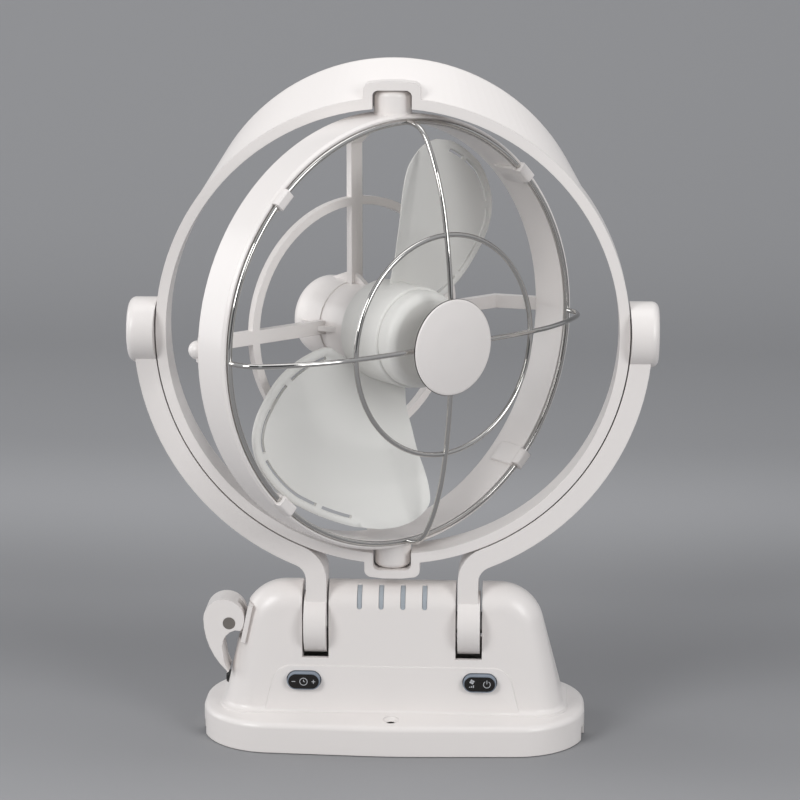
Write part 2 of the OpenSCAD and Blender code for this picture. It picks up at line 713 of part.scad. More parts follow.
module hub_boss() {
    rotate([0, 90, 0]) rotate_extrude() polygon(rounded([
        [0, arm_in_r - 12, 0], [0, hub_span / 2, 0], [hub_r, hub_span / 2, 3.5], [hub_r, arm_in_r - 12, 0]]));
}
tilt_pin_r = 4;
tilt_pin_in = ring_in_r + 1.6;
tilt_pin_out = hub_span / 2 - 4;
washer_t = 1.2;
washer_r = 7;
module yoke_arm() {
    difference() {
        union() {
            on_ring() translate([0, 0, -ring_depth / 2]) linear_extrude(ring_depth) yoke_arm_2d();
            on_ring() hub_boss();
            translate([foot_x - foot_w / 2, yoke_y, hinge_z]) rotate([0, 90, 0])
                cylinder(r = foot_r, h = foot_w);
        }
        on_ring() translate([0, 0, -ring_depth]) cylinder(r = arm_in_r, h = 2 * ring_depth, $fn = 192);
        translate([0, yoke_y, hinge_z]) rotate([0, 90, 0]) cylinder(r = tube_r + seat_gap, h = hub_span);
        on_ring() rotate([0, 90, 0]) cylinder(r = tilt_pin_r + seat_gap, h = tilt_pin_out);
        translate([foot_x, yoke_y, hinge_z]) mirror([0, 0, 1])
            cylinder(r = hinge_pin_r + seat_gap, h = foot_r - 2);
    }
}
module yoke_arm_left() { color(white) mirror([1, 0, 0]) yoke_arm(); }
module yoke_arm_right() { color(white) yoke_arm(); }
tube_bore_r = rod_r + 1.1 + 0.4;
hinge_pin_r = 1.2;
module hinge_tube() {
    color(steel) difference() {
        translate([0, yoke_y, hinge_z]) rotate([0, 90, 0]) {
            translate([0, 0, -tube_end]) cylinder(r = tube_r, h = 2 * tube_end);
            translate([0, 0, -tube_end - 2]) cylinder(r = brake_r, h = 2);
        }
        translate([-tube_end - 4, yoke_y, hinge_z]) rotate([0, 90, 0])
            cylinder(r = tube_bore_r, h = 2 * tube_end + 8);
        both_sides() translate([foot_x, yoke_y, hinge_z]) mirror([0, 0, 1])
            cylinder(r = hinge_pin_r + seat_gap, h = 10);
    }
}
module hinge_pins() {
    color(steel) both_sides() translate([foot_x, yoke_y, hinge_z - foot_r + 2.2])
        cylinder(r = hinge_pin_r, h = foot_r - 2.2 - tube_bore_r - 0.2);
}
module hinge_bushes() {
    color([0.75, 0.75, 0.7]) both_sides() for (x = [slot_in - rib_t, slot_out + rib_t])
        translate([x, yoke_y, hinge_z]) rotate([0, x < leg_x ? 90 : -90, 0]) difference() {
            translate([0, 0, -1]) cylinder(r = bush_r, h = rib_t + 1);
            translate([0, 0, -2]) cylinder(r = tube_r + run_gap, h = 10);
        }
}
module tilt_pivots() {
    color(steel) on_ring() both_sides() rotate([0, 90, 0]) translate([0, 0, tilt_pin_in])
        cylinder(r = tilt_pin_r, h = tilt_pin_out - tilt_pin_in - 0.2);
}
// The washers lie in a recess round each pivot, on the ring's side of the gap.
module tilt_washers() {
    color([0.3, 0.3, 0.3]) on_ring() both_sides() rotate([0, 90, 0])
        translate([0, 0, arm_in_r - side_gap - washer_t]) difference() {
        cylinder(r = washer_r, h = washer_t);
        translate([0, 0, -1]) cylinder(r = tilt_pin_r + run_gap, h = washer_t + 2);
    }
}

// Gimbal ring
visor_c = (visor_reach * visor_reach - ring_out_r * ring_out_r)
    / (2 * (visor_reach - ring_out_r * cos(visor_half_angle)));
module visor_cone(inset) {
    hull() {
        translate([0, 0, ring_depth / 2 - 0.6]) linear_extrude(0.01)
            circle(r = ring_out_r - 0.4 - inset, $fn = 144);
        translate([0, visor_c, -visor_back - (inset > 0 ? 1 : 0)]) linear_extrude(0.01)
            circle(r = visor_reach - visor_c - inset, $fn = 144);
    }
}
pocket_bulge = 1.1;
module pocket_2d(half_w, reach, r, bulge) {
    polygon(rounded([[-half_w, 0, 0], [-half_w, reach - bulge, r], [-half_w / 3, reach, half_w],
                     [half_w / 3, reach, half_w], [half_w, reach - bulge, r], [half_w, 0, 0]]));
}
module gimbal_ring() {
    color(white) on_ring() difference() {
        union() {
            translate([0, 0, -ring_depth / 2]) linear_extrude(ring_depth) circle(r = ring_out_r, $fn = 192);
            difference() {
                visor_cone(0);
                visor_cone(visor_t);
            }
            for (up = [0, 1]) mirror([0, up, 0]) translate([0, 0, -ring_depth / 2]) linear_extrude(ring_depth)
                pocket_2d(notch_w / 2 + pocket_t, pocket_reach, pocket_r, pocket_bulge);
        }
        translate([0, 0, -40]) linear_extrude(80) circle(r = ring_in_r, $fn = 192);
        for (up = [0, 1]) mirror([0, up, 0]) translate([0, 0, -ring_depth]) linear_extrude(2 * ring_depth)
            pocket_2d(notch_w / 2, notch_reach, notch_r, 0);
        rotate([90, 0, 0]) translate([0, 0, -swivel_pin_out])
            cylinder(r = swivel_pin_r + seat_gap, h = 2 * swivel_pin_out);
        both_sides() rotate([0, 90, 0]) translate([0, 0, tilt_pin_in - 0.1])
            cylinder(r = tilt_pin_r + run_gap, h = hub_span);
        both_sides() rotate([0, 90, 0]) translate([0, 0, arm_in_r - side_gap - washer_t])
            cylinder(r = washer_r + 0.1, h = 20);
    }
}
swivel_pin_r = 3;
swivel_pin_out = pocket_reach - 1;
swivel_pin_in = shroud_r - 2.5;
module swivel_pins() {
    color(steel) on_ring() for (up = [0, 1]) mirror([0, up, 0]) rotate([-90, 0, 0])
        translate([0, 0, swivel_pin_in + 0.2])
            cylinder(r = swivel_pin_r, h = swivel_pin_out - swivel_pin_in - 0.4);
}

// Head
bush_out_r = swivel_pin_r + run_gap + 1.5;
boss_top = notch_reach - side_gap;
module shroud_ring() {
    pad_w = 11;
    pad_l = 15;
    color(white) on_head() difference() {
        union() {
            rotate_extrude() polygon([
                [shroud_in_r, -shroud_back], [shroud_r - 1.2, -shroud_back], [shroud_r, 1.5 - shroud_back],
                [shroud_r, shroud_front - 1.5], [shroud_r - 1, shroud_front],
                [guard_r + wire_d / 2 + 0.3, shroud_front],
                [guard_r + wire_d / 2 + 0.3, guard_a - wire_d / 2], [shroud_in_r, guard_a - wire_d / 2]]);
            for (up = [0, 1]) mirror([0, up, 0]) rotate([-90, 0, 0]) rotate_extrude()
                polygon(rounded([[0, shroud_in_r + 0.5, 0], [0, boss_top, 0],
                    [boss_r, boss_top, notch_r], [boss_r, shroud_in_r + 0.5, 0]]));
            for (i = [0 : 3]) rotate([0, 0, 45 + 90 * i])
                translate([shroud_in_r - 1, -pad_w / 2, guard_a - wire_d / 2 - pad_l])
                    cube([3, pad_w, pad_l]);
            nub(0);
        }
        for (up = [0, 1]) mirror([0, up, 0]) rotate([-90, 0, 0]) translate([0, 0, swivel_pin_in])
            cylinder(r = bush_out_r + seat_gap, h = 20);
    }
}
module nub(gap) {
    translate([-(shroud_r - 2.7), 2, -shroud_back - 2.5]) sphere(r = nub_r + gap, $fn = 48);
}
guard_a = shroud_front + 0.4;
module swivel_bushes() {
    color([0.75, 0.75, 0.7]) on_head() for (up = [0, 1]) mirror([0, up, 0]) rotate([-90, 0, 0])
        translate([0, 0, swivel_pin_in])
        difference() {
            cylinder(r = bush_out_r, h = boss_top - swivel_pin_in);
            translate([0, 0, -1]) cylinder(r = swivel_pin_r + run_gap, h = 30);
        }
}
sleeve_out_r = cover_r - 0.5;
gusset = 8.5;
gusset_t = 2.4;
module rear_spider() {
    back = -spider_back - spoke_t / 2;
    front = -spider_back + spoke_t / 2;
    color(white) on_head() difference() {
        union() {
            for (i = [0 : 3]) rotate([0, 0, 90 * i]) {
                translate([0, spoke_w / 2, 0]) rotate([90, 0, 0]) linear_extrude(spoke_w) polygon([
                    [can_r, back], [spoke_bend_r + 1.5, back], [shroud_r - 0.8, -shroud_back - 1],
                    [shroud_r - 0.8, -shroud_back],
                    [shroud_in_r + 0.2, -shroud_back], [spoke_bend_r - 1, front], [can_r, front]]);
                translate([0, gusset_t / 2, 0]) rotate([90, 0, 0]) linear_extrude(gusset_t) polygon([
                    [can_r, front - 1], [sleeve_out_r + gusset * 0.6, front - 1],
                    [sleeve_out_r, front + gusset], [can_r, front + gusset]]);
            }
            rotate_extrude() translate([spider_ring_r - spoke_t / 2, back]) square([spoke_t, spoke_t]);
            translate([0, 0, back]) cylinder(r = sleeve_out_r, h = -back - fan_hub_back - 2.5);
        }
        nub(seat_gap);
        translate([0, 0, back - 1]) cylinder(r = can_r + seat_gap, h = can_front - back + 1);
        translate([0, 0, -60]) cylinder(r = 5.2, h = 60);
        for (x = [-1, 1]) translate([x * 9, 0, -fan_hub_back - 12]) cylinder(r = screw_r + 0.1, h = 12);
    }
}
can_front = -fan_hub_back - 4.5;
can_back = -cover_back + 3;
module motor_cover() {
    rear = -spider_back - spoke_t / 2;
    color(white) on_head() for (i = [0 : 3]) rotate([0, 0, 90 * i])
        translate([0, gusset_t / 2, 0]) rotate([90, 0, 0]) linear_extrude(gusset_t) polygon([
            [cover_r - 1, rear], [cover_r + gusset * 0.6, rear], [cover_r - 0.2, rear - 1.8 * gusset],
            [cover_r - 1, rear - 1.8 * gusset]]);
    color(white) on_head() rotate_extrude() polygon(concat(
        rounded([[0, -cover_back, 0], [cover_r, -cover_back, 5.5], [cover_r, -spider_back - spoke_t / 2, 0],
                 [can_r + seat_gap, -spider_back - spoke_t / 2, 0], [can_r + seat_gap, can_back, 0],
                 [0, can_back, 0]])));
}
module motor_can() {
    shell = 1.2;
    color(steel) on_head() difference() {
        translate([0, 0, can_back]) cylinder(r = can_r, h = can_front - can_back);
        translate([0, 0, can_back + shell]) cylinder(r = can_r - shell, h = can_front - can_back - 2 * shell);
        translate([0, 0, can_front - 3]) cylinder(r = shaft_r + 0.4, h = 6);
        for (x = [-1, 1]) translate([x * 9, 0, can_front - 5]) cylinder(r = screw_r - 0.1 + seat_gap, h = 10);
    }
}
bearing_h = 3;
module motor_bearings() {
    color(chrome) on_head() for (a = [can_back + 1.2, can_front - 1.2 - bearing_h]) translate([0, 0, a])
        difference() {
        cylinder(r = 5, h = bearing_h);
        translate([0, 0, -1]) cylinder(r = shaft_r + run_gap, h = bearing_h + 2);
    }
}
module motor_screws() {
    color(steel) on_head() for (x = [-1, 1]) translate([x * 9, 0, -fan_hub_back - 2.5 + 1.1])
        mirror([0, 0, 1]) screw(5, head_r = 2.3);
}
module torus(big_r, small_r) {
    rotate_extrude() translate([big_r, 0]) circle(r = small_r, $fn = 24);
}
module guard_outer_ring() {
    color(chrome) on_head() translate([0, 0, guard_a]) torus(guard_r, wire_d / 2);
}
module guard_inner_ring() {
    color(chrome) on_head() translate([0, 0, wire_a(inner_ring_r) - wire_d - 0.03])
        torus(inner_ring_r, wire_d / 2);
}
// Half of a guard wire: distance from the fan's axis and distance forward of the swivel
// axis. Under the cap the level wire dips beneath the upright one.
wire_start = guard_a + wire_d / 2 + 0.02;
function wire_point(part, rise) = [guard_r * part, wire_start + (guard_front - wire_start) * rise];
function wire_path(dip) = concat([[guard_r, wire_start]],
    [for (p = [[0.99, 0.27], [0.957, 0.41], [0.8, 0.67], [0.686, 0.87], [0.557, 0.935], [0.437, 0.947]])
        wire_point(p[0], p[1])],
    [[cap_r - 2, guard_front - dip], [0, guard_front - dip]]);
function wire_a(r) = lookup(r, wire_path(0));
wire_sides = 10;
// A round bar swept along a path in the x-z plane.
module swept(path, r) {
    n = len(path);
    function along(i) = i == 0 ? unit(path[1] - path[0]) : i == n - 1 ? unit(path[n - 1] - path[n - 2])
        : unit(unit(path[i + 1] - path[i]) + unit(path[i] - path[i - 1]));
    function mitre(i) = i == 0 || i == n - 1 ? 1 : 1 / (along(i) * unit(path[i + 1] - path[i]));
    points = [for (i = [0 : n - 1]) for (k = [0 : wire_sides - 1])
        let (t = along(i), q = 360 * k / wire_sides, u = r * mitre(i) * cos(q), v = r * sin(q))
        [path[i][0] - t[1] * u, v, path[i][1] + t[0] * u]];
    faces = concat([[for (k = [0 : wire_sides - 1]) wire_sides - 1 - k]],
        [[for (k = [0 : wire_sides - 1]) (n - 1) * wire_sides + k]],
        [for (i = [0 : n - 2]) for (k = [0 : wire_sides - 1]) each
            let (a = i * wire_sides + k, b = i * wire_sides + (k + 1) % wire_sides)
            [[a, b, b + wire_sides], [a, b + wire_sides, a + wire_sides]]]);
    polyhedron(points, faces, convexity = 4);
}
module guard_wire(dip) {
    half = wire_path(dip);
    n = len(half);
    swept(concat([for (p = half) p], [for (i = [n - 2 : -1 : 0]) [-half[i][0], half[i][1]]]), wire_d / 2);
}
module guard_upright_wire() {
    color(chrome) on_head() rotate([0, 0, 90]) guard_wire(0);
}
module guard_level_wire() {
    color(chrome) on_head() guard_wire(wire_d + 0.05);
}
module guard_clips() {
    span = clip_w / guard_r * 180 / PI;
    clip_half = 2.7;
    clip_h = 3.2;
    color(white) on_head() for (i = [0 : 3]) rotate([0, 0, 45 + 90 * i - span / 2]) difference() {
        rotate_extrude(angle = span) polygon(rounded([
            [guard_r - clip_half, guard_a - wire_d / 2, 0],
            [guard_r + wire_d / 2 + 0.28, guard_a - wire_d / 2, 0],
            [guard_r + wire_d / 2 + 0.28, shroud_front, 0], [guard_r + clip_half, shroud_front, 0],
            [guard_r + clip_half, guard_a + clip_h, 1.2], [guard_r - clip_half, guard_a + clip_h, 1.2]]));
        translate([0, 0, guard_a]) torus(guard_r, wire_d / 2 + seat_gap);
    }
}
cap_back = guard_front + wire_d / 2 + 0.1;
module guard_cap() {
    color(white) on_head() difference() {
        union() {
            rotate_extrude() polygon(concat([[0, cap_back], [cap_r - 0.6, cap_back]],
            [for (i = [0 : 6]) let (r = cap_r * (1 - i / 6))
                [r, cap_back + cap_t + 1.2 * (1 - pow(r / cap_r, 2)) - (i == 0 ? 0.9 : 0)]]));
            cap_screw_places() translate([0, 0, plate_a + plate_h])
                cylinder(r = 3, h = cap_back - plate_a - plate_h + 0.5);
        }
        cap_screw_places() translate([0, 0, plate_a]) cylinder(r = screw_r - 0.1 + seat_gap, h = 8);
    }
}
module cap_screw_places() {
    for (turn = [0, 180]) rotate([0, 0, turn]) translate([5.5, 5.5, 0]) children();
}
plate_h = 1.8;
plate_a = guard_front - 1.5 * wire_d - 0.1 - plate_h;
module cap_plate() {
    color(white) on_head() translate([0, 0, plate_a]) difference() {
        cylinder(r = 13, h = plate_h);
        cap_screw_places() translate([0, 0, -1]) cylinder(r = screw_r + 0.1, h = plate_h + 2);
    }
}
module cap_screws() {
    color(steel) on_head() cap_screw_places() translate([0, 0, plate_a - 1.1]) screw(8.5);
}

// Impeller
hub_wall = 2;
function lead_angle(r) = lookup(r, [
    [20, -34], [24, -36], [30, -57], [40, -55.9], [50, -53], [60, -49.1], [70, -44.3], [78, -40.4],
    [85, -35.6], [90, -29.3], [92.7, -22], [94, -12]]);
function trail_angle(r) = lookup(r, [
    [20, 31], [26, 30.6], [36, 26.7], [56, 26.5], [75, 27], [82, 25.6], [88, 21], [91.4, 16], [94, 6]]);
// Each blade is a cambered plate: height along the axis from its place across and out from the hub.
blade_mid_a = 0.7;
blade_rake = 0.0915;
blade_camber = 0.0021;
function blade_a(r, phi) = let (across = r * sin(phi), out = r * cos(phi) - 60)
    blade_mid_a + blade_slope * across + blade_rake * out + blade_camber * across * across;
blade_rings = 11;
blade_ribs = 10;
module blade() {
    root = fan_hub_r - hub_wall / 2;
    points = [for (face = [0, 1]) for (i = [0 : blade_rings]) for (j = [0 : blade_ribs])
        let (r = root + (blade_tip_r - root) * i / blade_rings,
             s = 20 + 74 * (r - 20) / (blade_tip_r - 20),
             phi = lead_angle(s) + (trail_angle(s) - lead_angle(s)) * j / blade_ribs)
        [r * cos(phi), r * sin(phi), blade_a(r, phi) + (0.5 - face) * blade_t]];
    row = blade_ribs + 1;
    sheet = row * (blade_rings + 1);
    last = blade_rings * row;
    faces = concat(
        [for (i = [0 : blade_rings - 1]) for (j = [0 : blade_ribs - 1]) each let (k = i * row + j)
            [[k, k + row + 1, k + row], [k, k + 1, k + row + 1]]],
        [for (i = [0 : blade_rings - 1]) for (j = [0 : blade_ribs - 1]) each let (k = sheet + i * row + j)
            [[k, k + row, k + row + 1], [k, k + row + 1, k + 1]]],
        [for (i = [0 : blade_rings - 1]) each let (k = i * row)
            [[k, k + row, sheet + k + row], [k, sheet + k + row, sheet + k]]],
        [for (i = [0 : blade_rings - 1]) each let (k = i * row + blade_ribs)
            [[k, sheet + k + row, k + row], [k, sheet + k, sheet + k + row]]],
        [for (j = [0 : blade_ribs - 1]) each [[j, sheet + j + 1, j + 1], [j, sheet + j, sheet + j + 1]]],
        [for (j = [0 : blade_ribs - 1]) each let (k = last + j)
            [[k, k + 1, sheet + k + 1], [k, sheet + k + 1, sheet + k]]]);
    polyhedron(points, faces, convexity = 6);
}
module impeller() {
    color(blade_white) on_head() {
        difference() {
            rotate_extrude() polygon(rounded([
                [0, -fan_hub_back, 0], [fan_hub_r, -fan_hub_back, 1], [fan_hub_r, fan_hub_front, 1],
                [0, fan_hub_front, 0]]));
            difference() {
                translate([0, 0, -fan_hub_back - 1])
                    cylinder(r = fan_hub_r - hub_wall, h = fan_hub_front + fan_hub_back - hub_wall + 1);
                cylinder(r = shaft_r + 3, h = 40);
            }
            translate([0, 0, -20]) cylinder(r = shaft_r + seat_gap, h = 60);
        }
        for (turn = [0, 180]) rotate([0, 0, blade_angle + turn]) blade();
    }
}
module motor_shaft() {
    color(chrome) on_head() translate([0, 0, can_back + 1.4])
        cylinder(r = shaft_r, h = fan_hub_front + 5 - can_back - 1.4);
}
module motor_rotor() {
    rotor_from = can_back + 1.2 + bearing_h + 1;
    rotor_to = can_front - 1.2 - bearing_h - 1;
    color([0.35, 0.35, 0.38]) on_head() translate([0, 0, rotor_from]) difference() {
        cylinder(r = can_r - 3, h = rotor_to - rotor_from);
        translate([0, 0, -1]) cylinder(r = shaft_r + seat_gap, h = rotor_to - rotor_from + 2);
    }
}
// The cap closes the hub's front and hides the nut.
module spinner_cap() {
    color(blade_white) on_head() rotate_extrude() polygon(rounded([
        [0, fan_cup_front, 0], [fan_cup_r, fan_cup_front, 3], [fan_cup_r, fan_hub_front, 0],
        [fan_cup_r - hub_wall, fan_hub_front, 0], [fan_cup_r - hub_wall, fan_cup_front - hub_wall, 0],
        [0, fan_cup_front - hub_wall, 0]]));
}
module impeller_nut() {
    color(chrome) on_head() translate([0, 0, fan_hub_front]) difference() {
        cylinder(r = 4.2, h = 3.2, $fn = 6);
        translate([0, 0, -1]) cylinder(r = shaft_r + seat_gap, h = 6);
    }
}

base_housing();
base_plate();
base_plate_screws();
control_board();
board_screws();
tact_switches();
key_holders();
lamp_board();
lamp_board_screws();
indicator_lamps();
light_guide();
dc_inlet();
cam_seat();
seat_nut();
hinge_bushes();
timer_key();
timer_key_face();
power_key();
power_key_face();
draw_rod();
lever_pin();
brake_disc();
rod_nut();
brake_spring();
cam_lever();
yoke_arm_left();
yoke_arm_right();
hinge_tube();
hinge_pins();
tilt_pivots();
tilt_washers();
gimbal_ring();
swivel_pins();
shroud_ring();
swivel_bushes();
rear_spider();
motor_cover();
motor_can();
motor_bearings();
motor_screws();
guard_outer_ring();
guard_inner_ring();
guard_upright_wire();
guard_level_wire();
guard_clips();
guard_cap();
cap_plate();
cap_screws();
impeller();
spinner_cap();
motor_shaft();
motor_rotor();
impeller_nut();
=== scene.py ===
"""Looks of a portable gimbal fan, built around its CAD frame.

Everything is in metres in the frame's own axes: +Z up, the front faces -Y.
Sizes written below are in millimetres and pass through MM.
"""

import json
import math

import bmesh
import bpy
from mathutils import Matrix, Vector
from mathutils.geometry import delaunay_2d_cdt


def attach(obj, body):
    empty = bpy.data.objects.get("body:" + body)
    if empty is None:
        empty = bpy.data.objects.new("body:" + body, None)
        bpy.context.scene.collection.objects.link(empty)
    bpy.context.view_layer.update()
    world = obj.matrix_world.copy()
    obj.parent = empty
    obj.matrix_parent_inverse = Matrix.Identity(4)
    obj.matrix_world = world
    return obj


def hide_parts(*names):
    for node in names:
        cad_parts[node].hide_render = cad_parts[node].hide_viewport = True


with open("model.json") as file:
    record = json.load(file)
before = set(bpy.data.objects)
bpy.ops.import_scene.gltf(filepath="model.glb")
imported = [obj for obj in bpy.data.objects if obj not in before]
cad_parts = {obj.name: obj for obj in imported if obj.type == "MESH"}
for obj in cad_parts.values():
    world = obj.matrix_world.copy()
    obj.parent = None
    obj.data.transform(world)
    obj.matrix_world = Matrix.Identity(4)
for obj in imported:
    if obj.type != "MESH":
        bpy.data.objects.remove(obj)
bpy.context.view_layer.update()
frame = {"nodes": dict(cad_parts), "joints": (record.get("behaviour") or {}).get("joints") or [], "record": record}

MM = 0.001
TAU = 2 * math.pi
JOINTS = {j["name"]: j for j in frame["joints"]}
TILT_POS = Vector(JOINTS["ring_tilt"]["pos_m"]) / MM
FOLD_POS = Vector(JOINTS["yoke_fold"]["pos_m"]) / MM
FAN_AXIS = Vector(JOINTS["fan_spin"]["axis"])
HEAD_YAW = math.atan2(FAN_AXIS.x, -FAN_AXIS.y)


# ---------------------------------------------------------------- places
def place(origin, *turns):
    """Matrix that takes millimetres at origin, turned by (angle, axis) pairs, to metres."""
    m = Matrix.Scale(MM, 4) @ Matrix.Translation(origin)
    for angle, axis in turns:
        m = m @ Matrix.Rotation(math.radians(angle), 4, axis)
    return m


# The head's own axes: x to its right, y up, z out of its front.
HEAD = place(TILT_POS, (math.degrees(HEAD_YAW), "Z"), (90, "X"))
BASE = place((0, 0, 0))


# ---------------------------------------------------------------- materials
def linear(*srgb):
    """Linear colour of 8-bit screen values."""
    parts = [v / 255 for v in srgb]
    return [v / 12.92 if v <= 0.04045 else ((v + 0.055) / 1.055) ** 2.4 for v in parts] + [1.0]


def material(name, colour, rough, metal=0.0, coat=0.0, grain=0.0, grain_size=900.0, edge=0.0):
    """Principled material; grain is a fine bump and edge rounds hard corners, in mm."""
    mat = bpy.data.materials.new(name)
    mat.use_nodes = True
    nodes, links = mat.node_tree.nodes, mat.node_tree.links
    shader = nodes["Principled BSDF"]
    shader.inputs["Base Color"].default_value = colour
    shader.inputs["Roughness"].default_value = rough
    shader.inputs["Metallic"].default_value = metal
    shader.inputs["Coat Weight"].default_value = coat
    shader.inputs["Coat Roughness"].default_value = 0.12
    normal = None
    if edge:
        bevel = nodes.new("ShaderNodeBevel")
        bevel.inputs["Radius"].default_value = edge * MM
        bevel.samples = 6
        normal = bevel.outputs["Normal"]
    if grain:
        place_node = nodes.new("ShaderNodeTexCoord")
        noise = nodes.new("ShaderNodeTexNoise")
        noise.inputs["Scale"].default_value = grain_size
        noise.inputs["Detail"].default_value = 3.0
        bump = nodes.new("ShaderNodeBump")
        bump.inputs["Strength"].default_value = grain
        bump.inputs["Distance"].default_value = 0.05 * MM
        links.new(place_node.outputs["Object"], noise.inputs["Vector"])
        links.new(noise.outputs["Fac"], bump.inputs["Height"])
        if normal:
            links.new(normal, bump.inputs["Normal"])
        normal = bump.outputs["Normal"]
    if normal:
        links.new(normal, shader.inputs["Normal"])
    return mat


SHELL = material("shell_white", linear(235, 230, 227), 0.34, coat=0.12, edge=0.5)
PLATE = material("plate_white", linear(222, 220, 217), 0.5, edge=0.3)
BLADE = material("blade_white", linear(225, 224, 220), 0.5)
CHROME = material("chrome", linear(196, 194, 191), 0.06, metal=1.0)
STEEL = material("steel", linear(170, 170, 170), 0.35, metal=1.0)
PIN = material("pin_steel", linear(158, 152, 146), 0.5, metal=1.0, grain=0.6, grain_size=2600)
BOARD = material("board_green", linear(40, 90, 60), 0.5)
SWITCH = material("switch_black", linear(30, 30, 30), 0.45)
LAMP = material("lamp_clear", linear(225, 230, 235), 0.2)
GUIDE = material("light_window", linear(168, 175, 182), 0.3)
KEY_SIDE = material("key_side", linear(140, 150, 163), 0.5, edge=0.3)
KEY_FACE = material("key_face", linear(24, 22, 21), 0.22, edge=0.2)
SIGN = material("key_sign", linear(188, 190, 194), 0.5)
INLET = material("inlet_black", linear(28, 28, 28), 0.35, edge=0.2)
BUSH = material("bush_white", linear(205, 204, 198), 0.55)
FRICTION = material("friction_lining", linear(60, 56, 52), 0.8)

FINISHES = {
    "shell": SHELL, "plate": PLATE, "blade": BLADE, "chrome": CHROME, "steel": STEEL,
    "pin": PIN, "board": BOARD, "switch": SWITCH, "lamp": LAMP, "guide": GUIDE,
    "key_side": KEY_SIDE, "key_face": KEY_FACE, "inlet": INLET, "bush": BUSH,
    "friction": FRICTION, "spring": STEEL,
}


def paint_frame():
    """Gives each CAD node the finish of its material slot."""
    for part in frame["record"]["subparts"]:
        node = frame["nodes"][part["node"]]
        finish = FINISHES[part["material_slot"]]
        for held in node.material_slots:
            held.material = finish
        if not node.material_slots:
            node.data.materials.append(finish)


paint_frame()


# ---------------------------------------------------------------- meshes
def add(name, verts, faces, where, finish, body, smooth=35):
    """Mesh piece from millimetre points. Edges sharper than smooth degrees stay sharp."""
    mesh = bpy.data.meshes.new(name)
    mesh.from_pydata([where @ Vector(v) for v in verts], [], faces)
    mesh.validate()
    return finish_piece(name, mesh, finish, body, smooth)


def finish_piece(name, mesh, finish, body, smooth=35):
    """Piece from a finished mesh in metres, with its faces outward, riding on a body."""
    bm = bmesh.new()
    bm.from_mesh(mesh)
    bmesh.ops.remove_doubles(bm, verts=bm.verts, dist=0.002 * MM)
    bmesh.ops.recalc_face_normals(bm, faces=bm.faces)
    if bm.calc_volume(signed=True) < 0:
        bmesh.ops.reverse_faces(bm, faces=bm.faces)
    bm.to_mesh(mesh)
    bm.free()
    mesh.shade_smooth()
    mesh.set_sharp_from_angle(angle=math.radians(smooth))
    obj = bpy.data.objects.new(name, mesh)
    bpy.context.scene.collection.objects.link(obj)
    mesh.materials.append(finish)
    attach(obj, body)
    return obj


def rounded(corners, steps=6):
    """2-D outline through (x, y, radius) corners, each with an arc of its radius."""
    points = []
    count = len(corners)
    for i, (x, y, r) in enumerate(corners):
        b = Vector((x, y))
        to_a = (Vector(corners[i - 1][:2]) - b).normalized()
        to_c = (Vector(corners[(i + 1) % count][:2]) - b).normalized()
        half = math.acos(max(-1.0, min(1.0, to_a.dot(to_c)))) / 2
        if r <= 0 or half > math.radians(89.5):
            points.append(b)
            continue
        centre = b + (to_a + to_c).normalized() * r / math.sin(half)
        first = b + to_a * r / math.tan(half) - centre
        last = b + to_c * r / math.tan(half) - centre
        start = math.atan2(first.y, first.x)
        sweep = math.atan2(last.y, last.x) - start
        sweep = (sweep + math.pi) % TAU - math.pi
        for k in range(steps + 1):
            a = start + sweep * k / steps
            points.append(centre + r * Vector((math.cos(a), math.sin(a))))
    return points


def skin_faces(rows, count, closed):
    """Quads between neighbouring rows of count points each."""
    faces = []
    for i in range(rows if closed else rows - 1):
        a, b = i * count, (i + 1) % rows * count
        faces += [(a + k, a + (k + 1) % count, b + (k + 1) % count, b + k) for k in range(count)]
    return faces


def loft(name, sections, where, finish, body, closed=False, smooth=35):
    """Skin over equal-length closed 3-D sections, capped unless the row is closed."""
    count = len(sections[0])
    verts = [p for s in sections for p in s]
    rows = len(sections)
    faces = skin_faces(rows, count, closed)
    if not closed:
        faces += [tuple(range(count))[::-1], tuple(range((rows - 1) * count, rows * count))]
    return add(name, verts, faces, where, finish, body, smooth)


def revolve(name, profile, where, finish, body, turns=160, smooth=35):
    """Closed (radius, height) profile turned about z."""
    sections = []
    for i in range(turns):
        c, s = math.cos(TAU * i / turns), math.sin(TAU * i / turns)
        sections.append([(r * c, r * s, h) for r, h in profile])
    return loft(name, sections, where, finish, body, closed=True, smooth=smooth)


def rod(name, path, radius, where, finish, body, closed=False, sides=20):
    """Round bar along a path of 3-D points."""
    path = [Vector(p) for p in path]
    count = len(path)
    sections = []
    side = None
    for i, p in enumerate(path):
        before = path[i - 1] if i or closed else p
        after = path[(i + 1) % count] if i < count - 1 or closed else p
        along = (after - before).normalized()
        side = side or along.orthogonal()
        side = (side - along * side.dot(along)).normalized()
        up = along.cross(side)
        sections.append([p + radius * (math.cos(TAU * k / sides) * side + math.sin(TAU * k / sides) * up)
                         for k in range(sides)])
    return loft(name, sections, where, finish, body, closed=closed, smooth=60)


def smooth_path(points, steps=8):
    """Catmull-Rom curve through points."""
    points = [Vector(p) for p in points]
    ends = [2 * points[0] - points[1]] + points + [2 * points[-1] - points[-2]]
    path = []
    for i in range(1, len(ends) - 2):
        p0, p1, p2, p3 = ends[i - 1:i + 3]
        for k in range(steps):
            t = k / steps
            path.append(0.5 * (2 * p1 + (p2 - p0) * t + (2 * p0 - 5 * p1 + 4 * p2 - p3) * t * t
                               + (3 * p1 - p0 - 3 * p2 + p3) * t ** 3))
    return path + [points[-1]]


# ---------------------------------------------------------------- impeller
BLADE_T = 1.7
BEAD_T = 3.0
BEAD_W = 3.6
TIP_R = 94.0
HUB_R = 24.0
HUB_BACK = -9.5
UPPER_TURN, LOWER_TURN = 68.7, 248.7
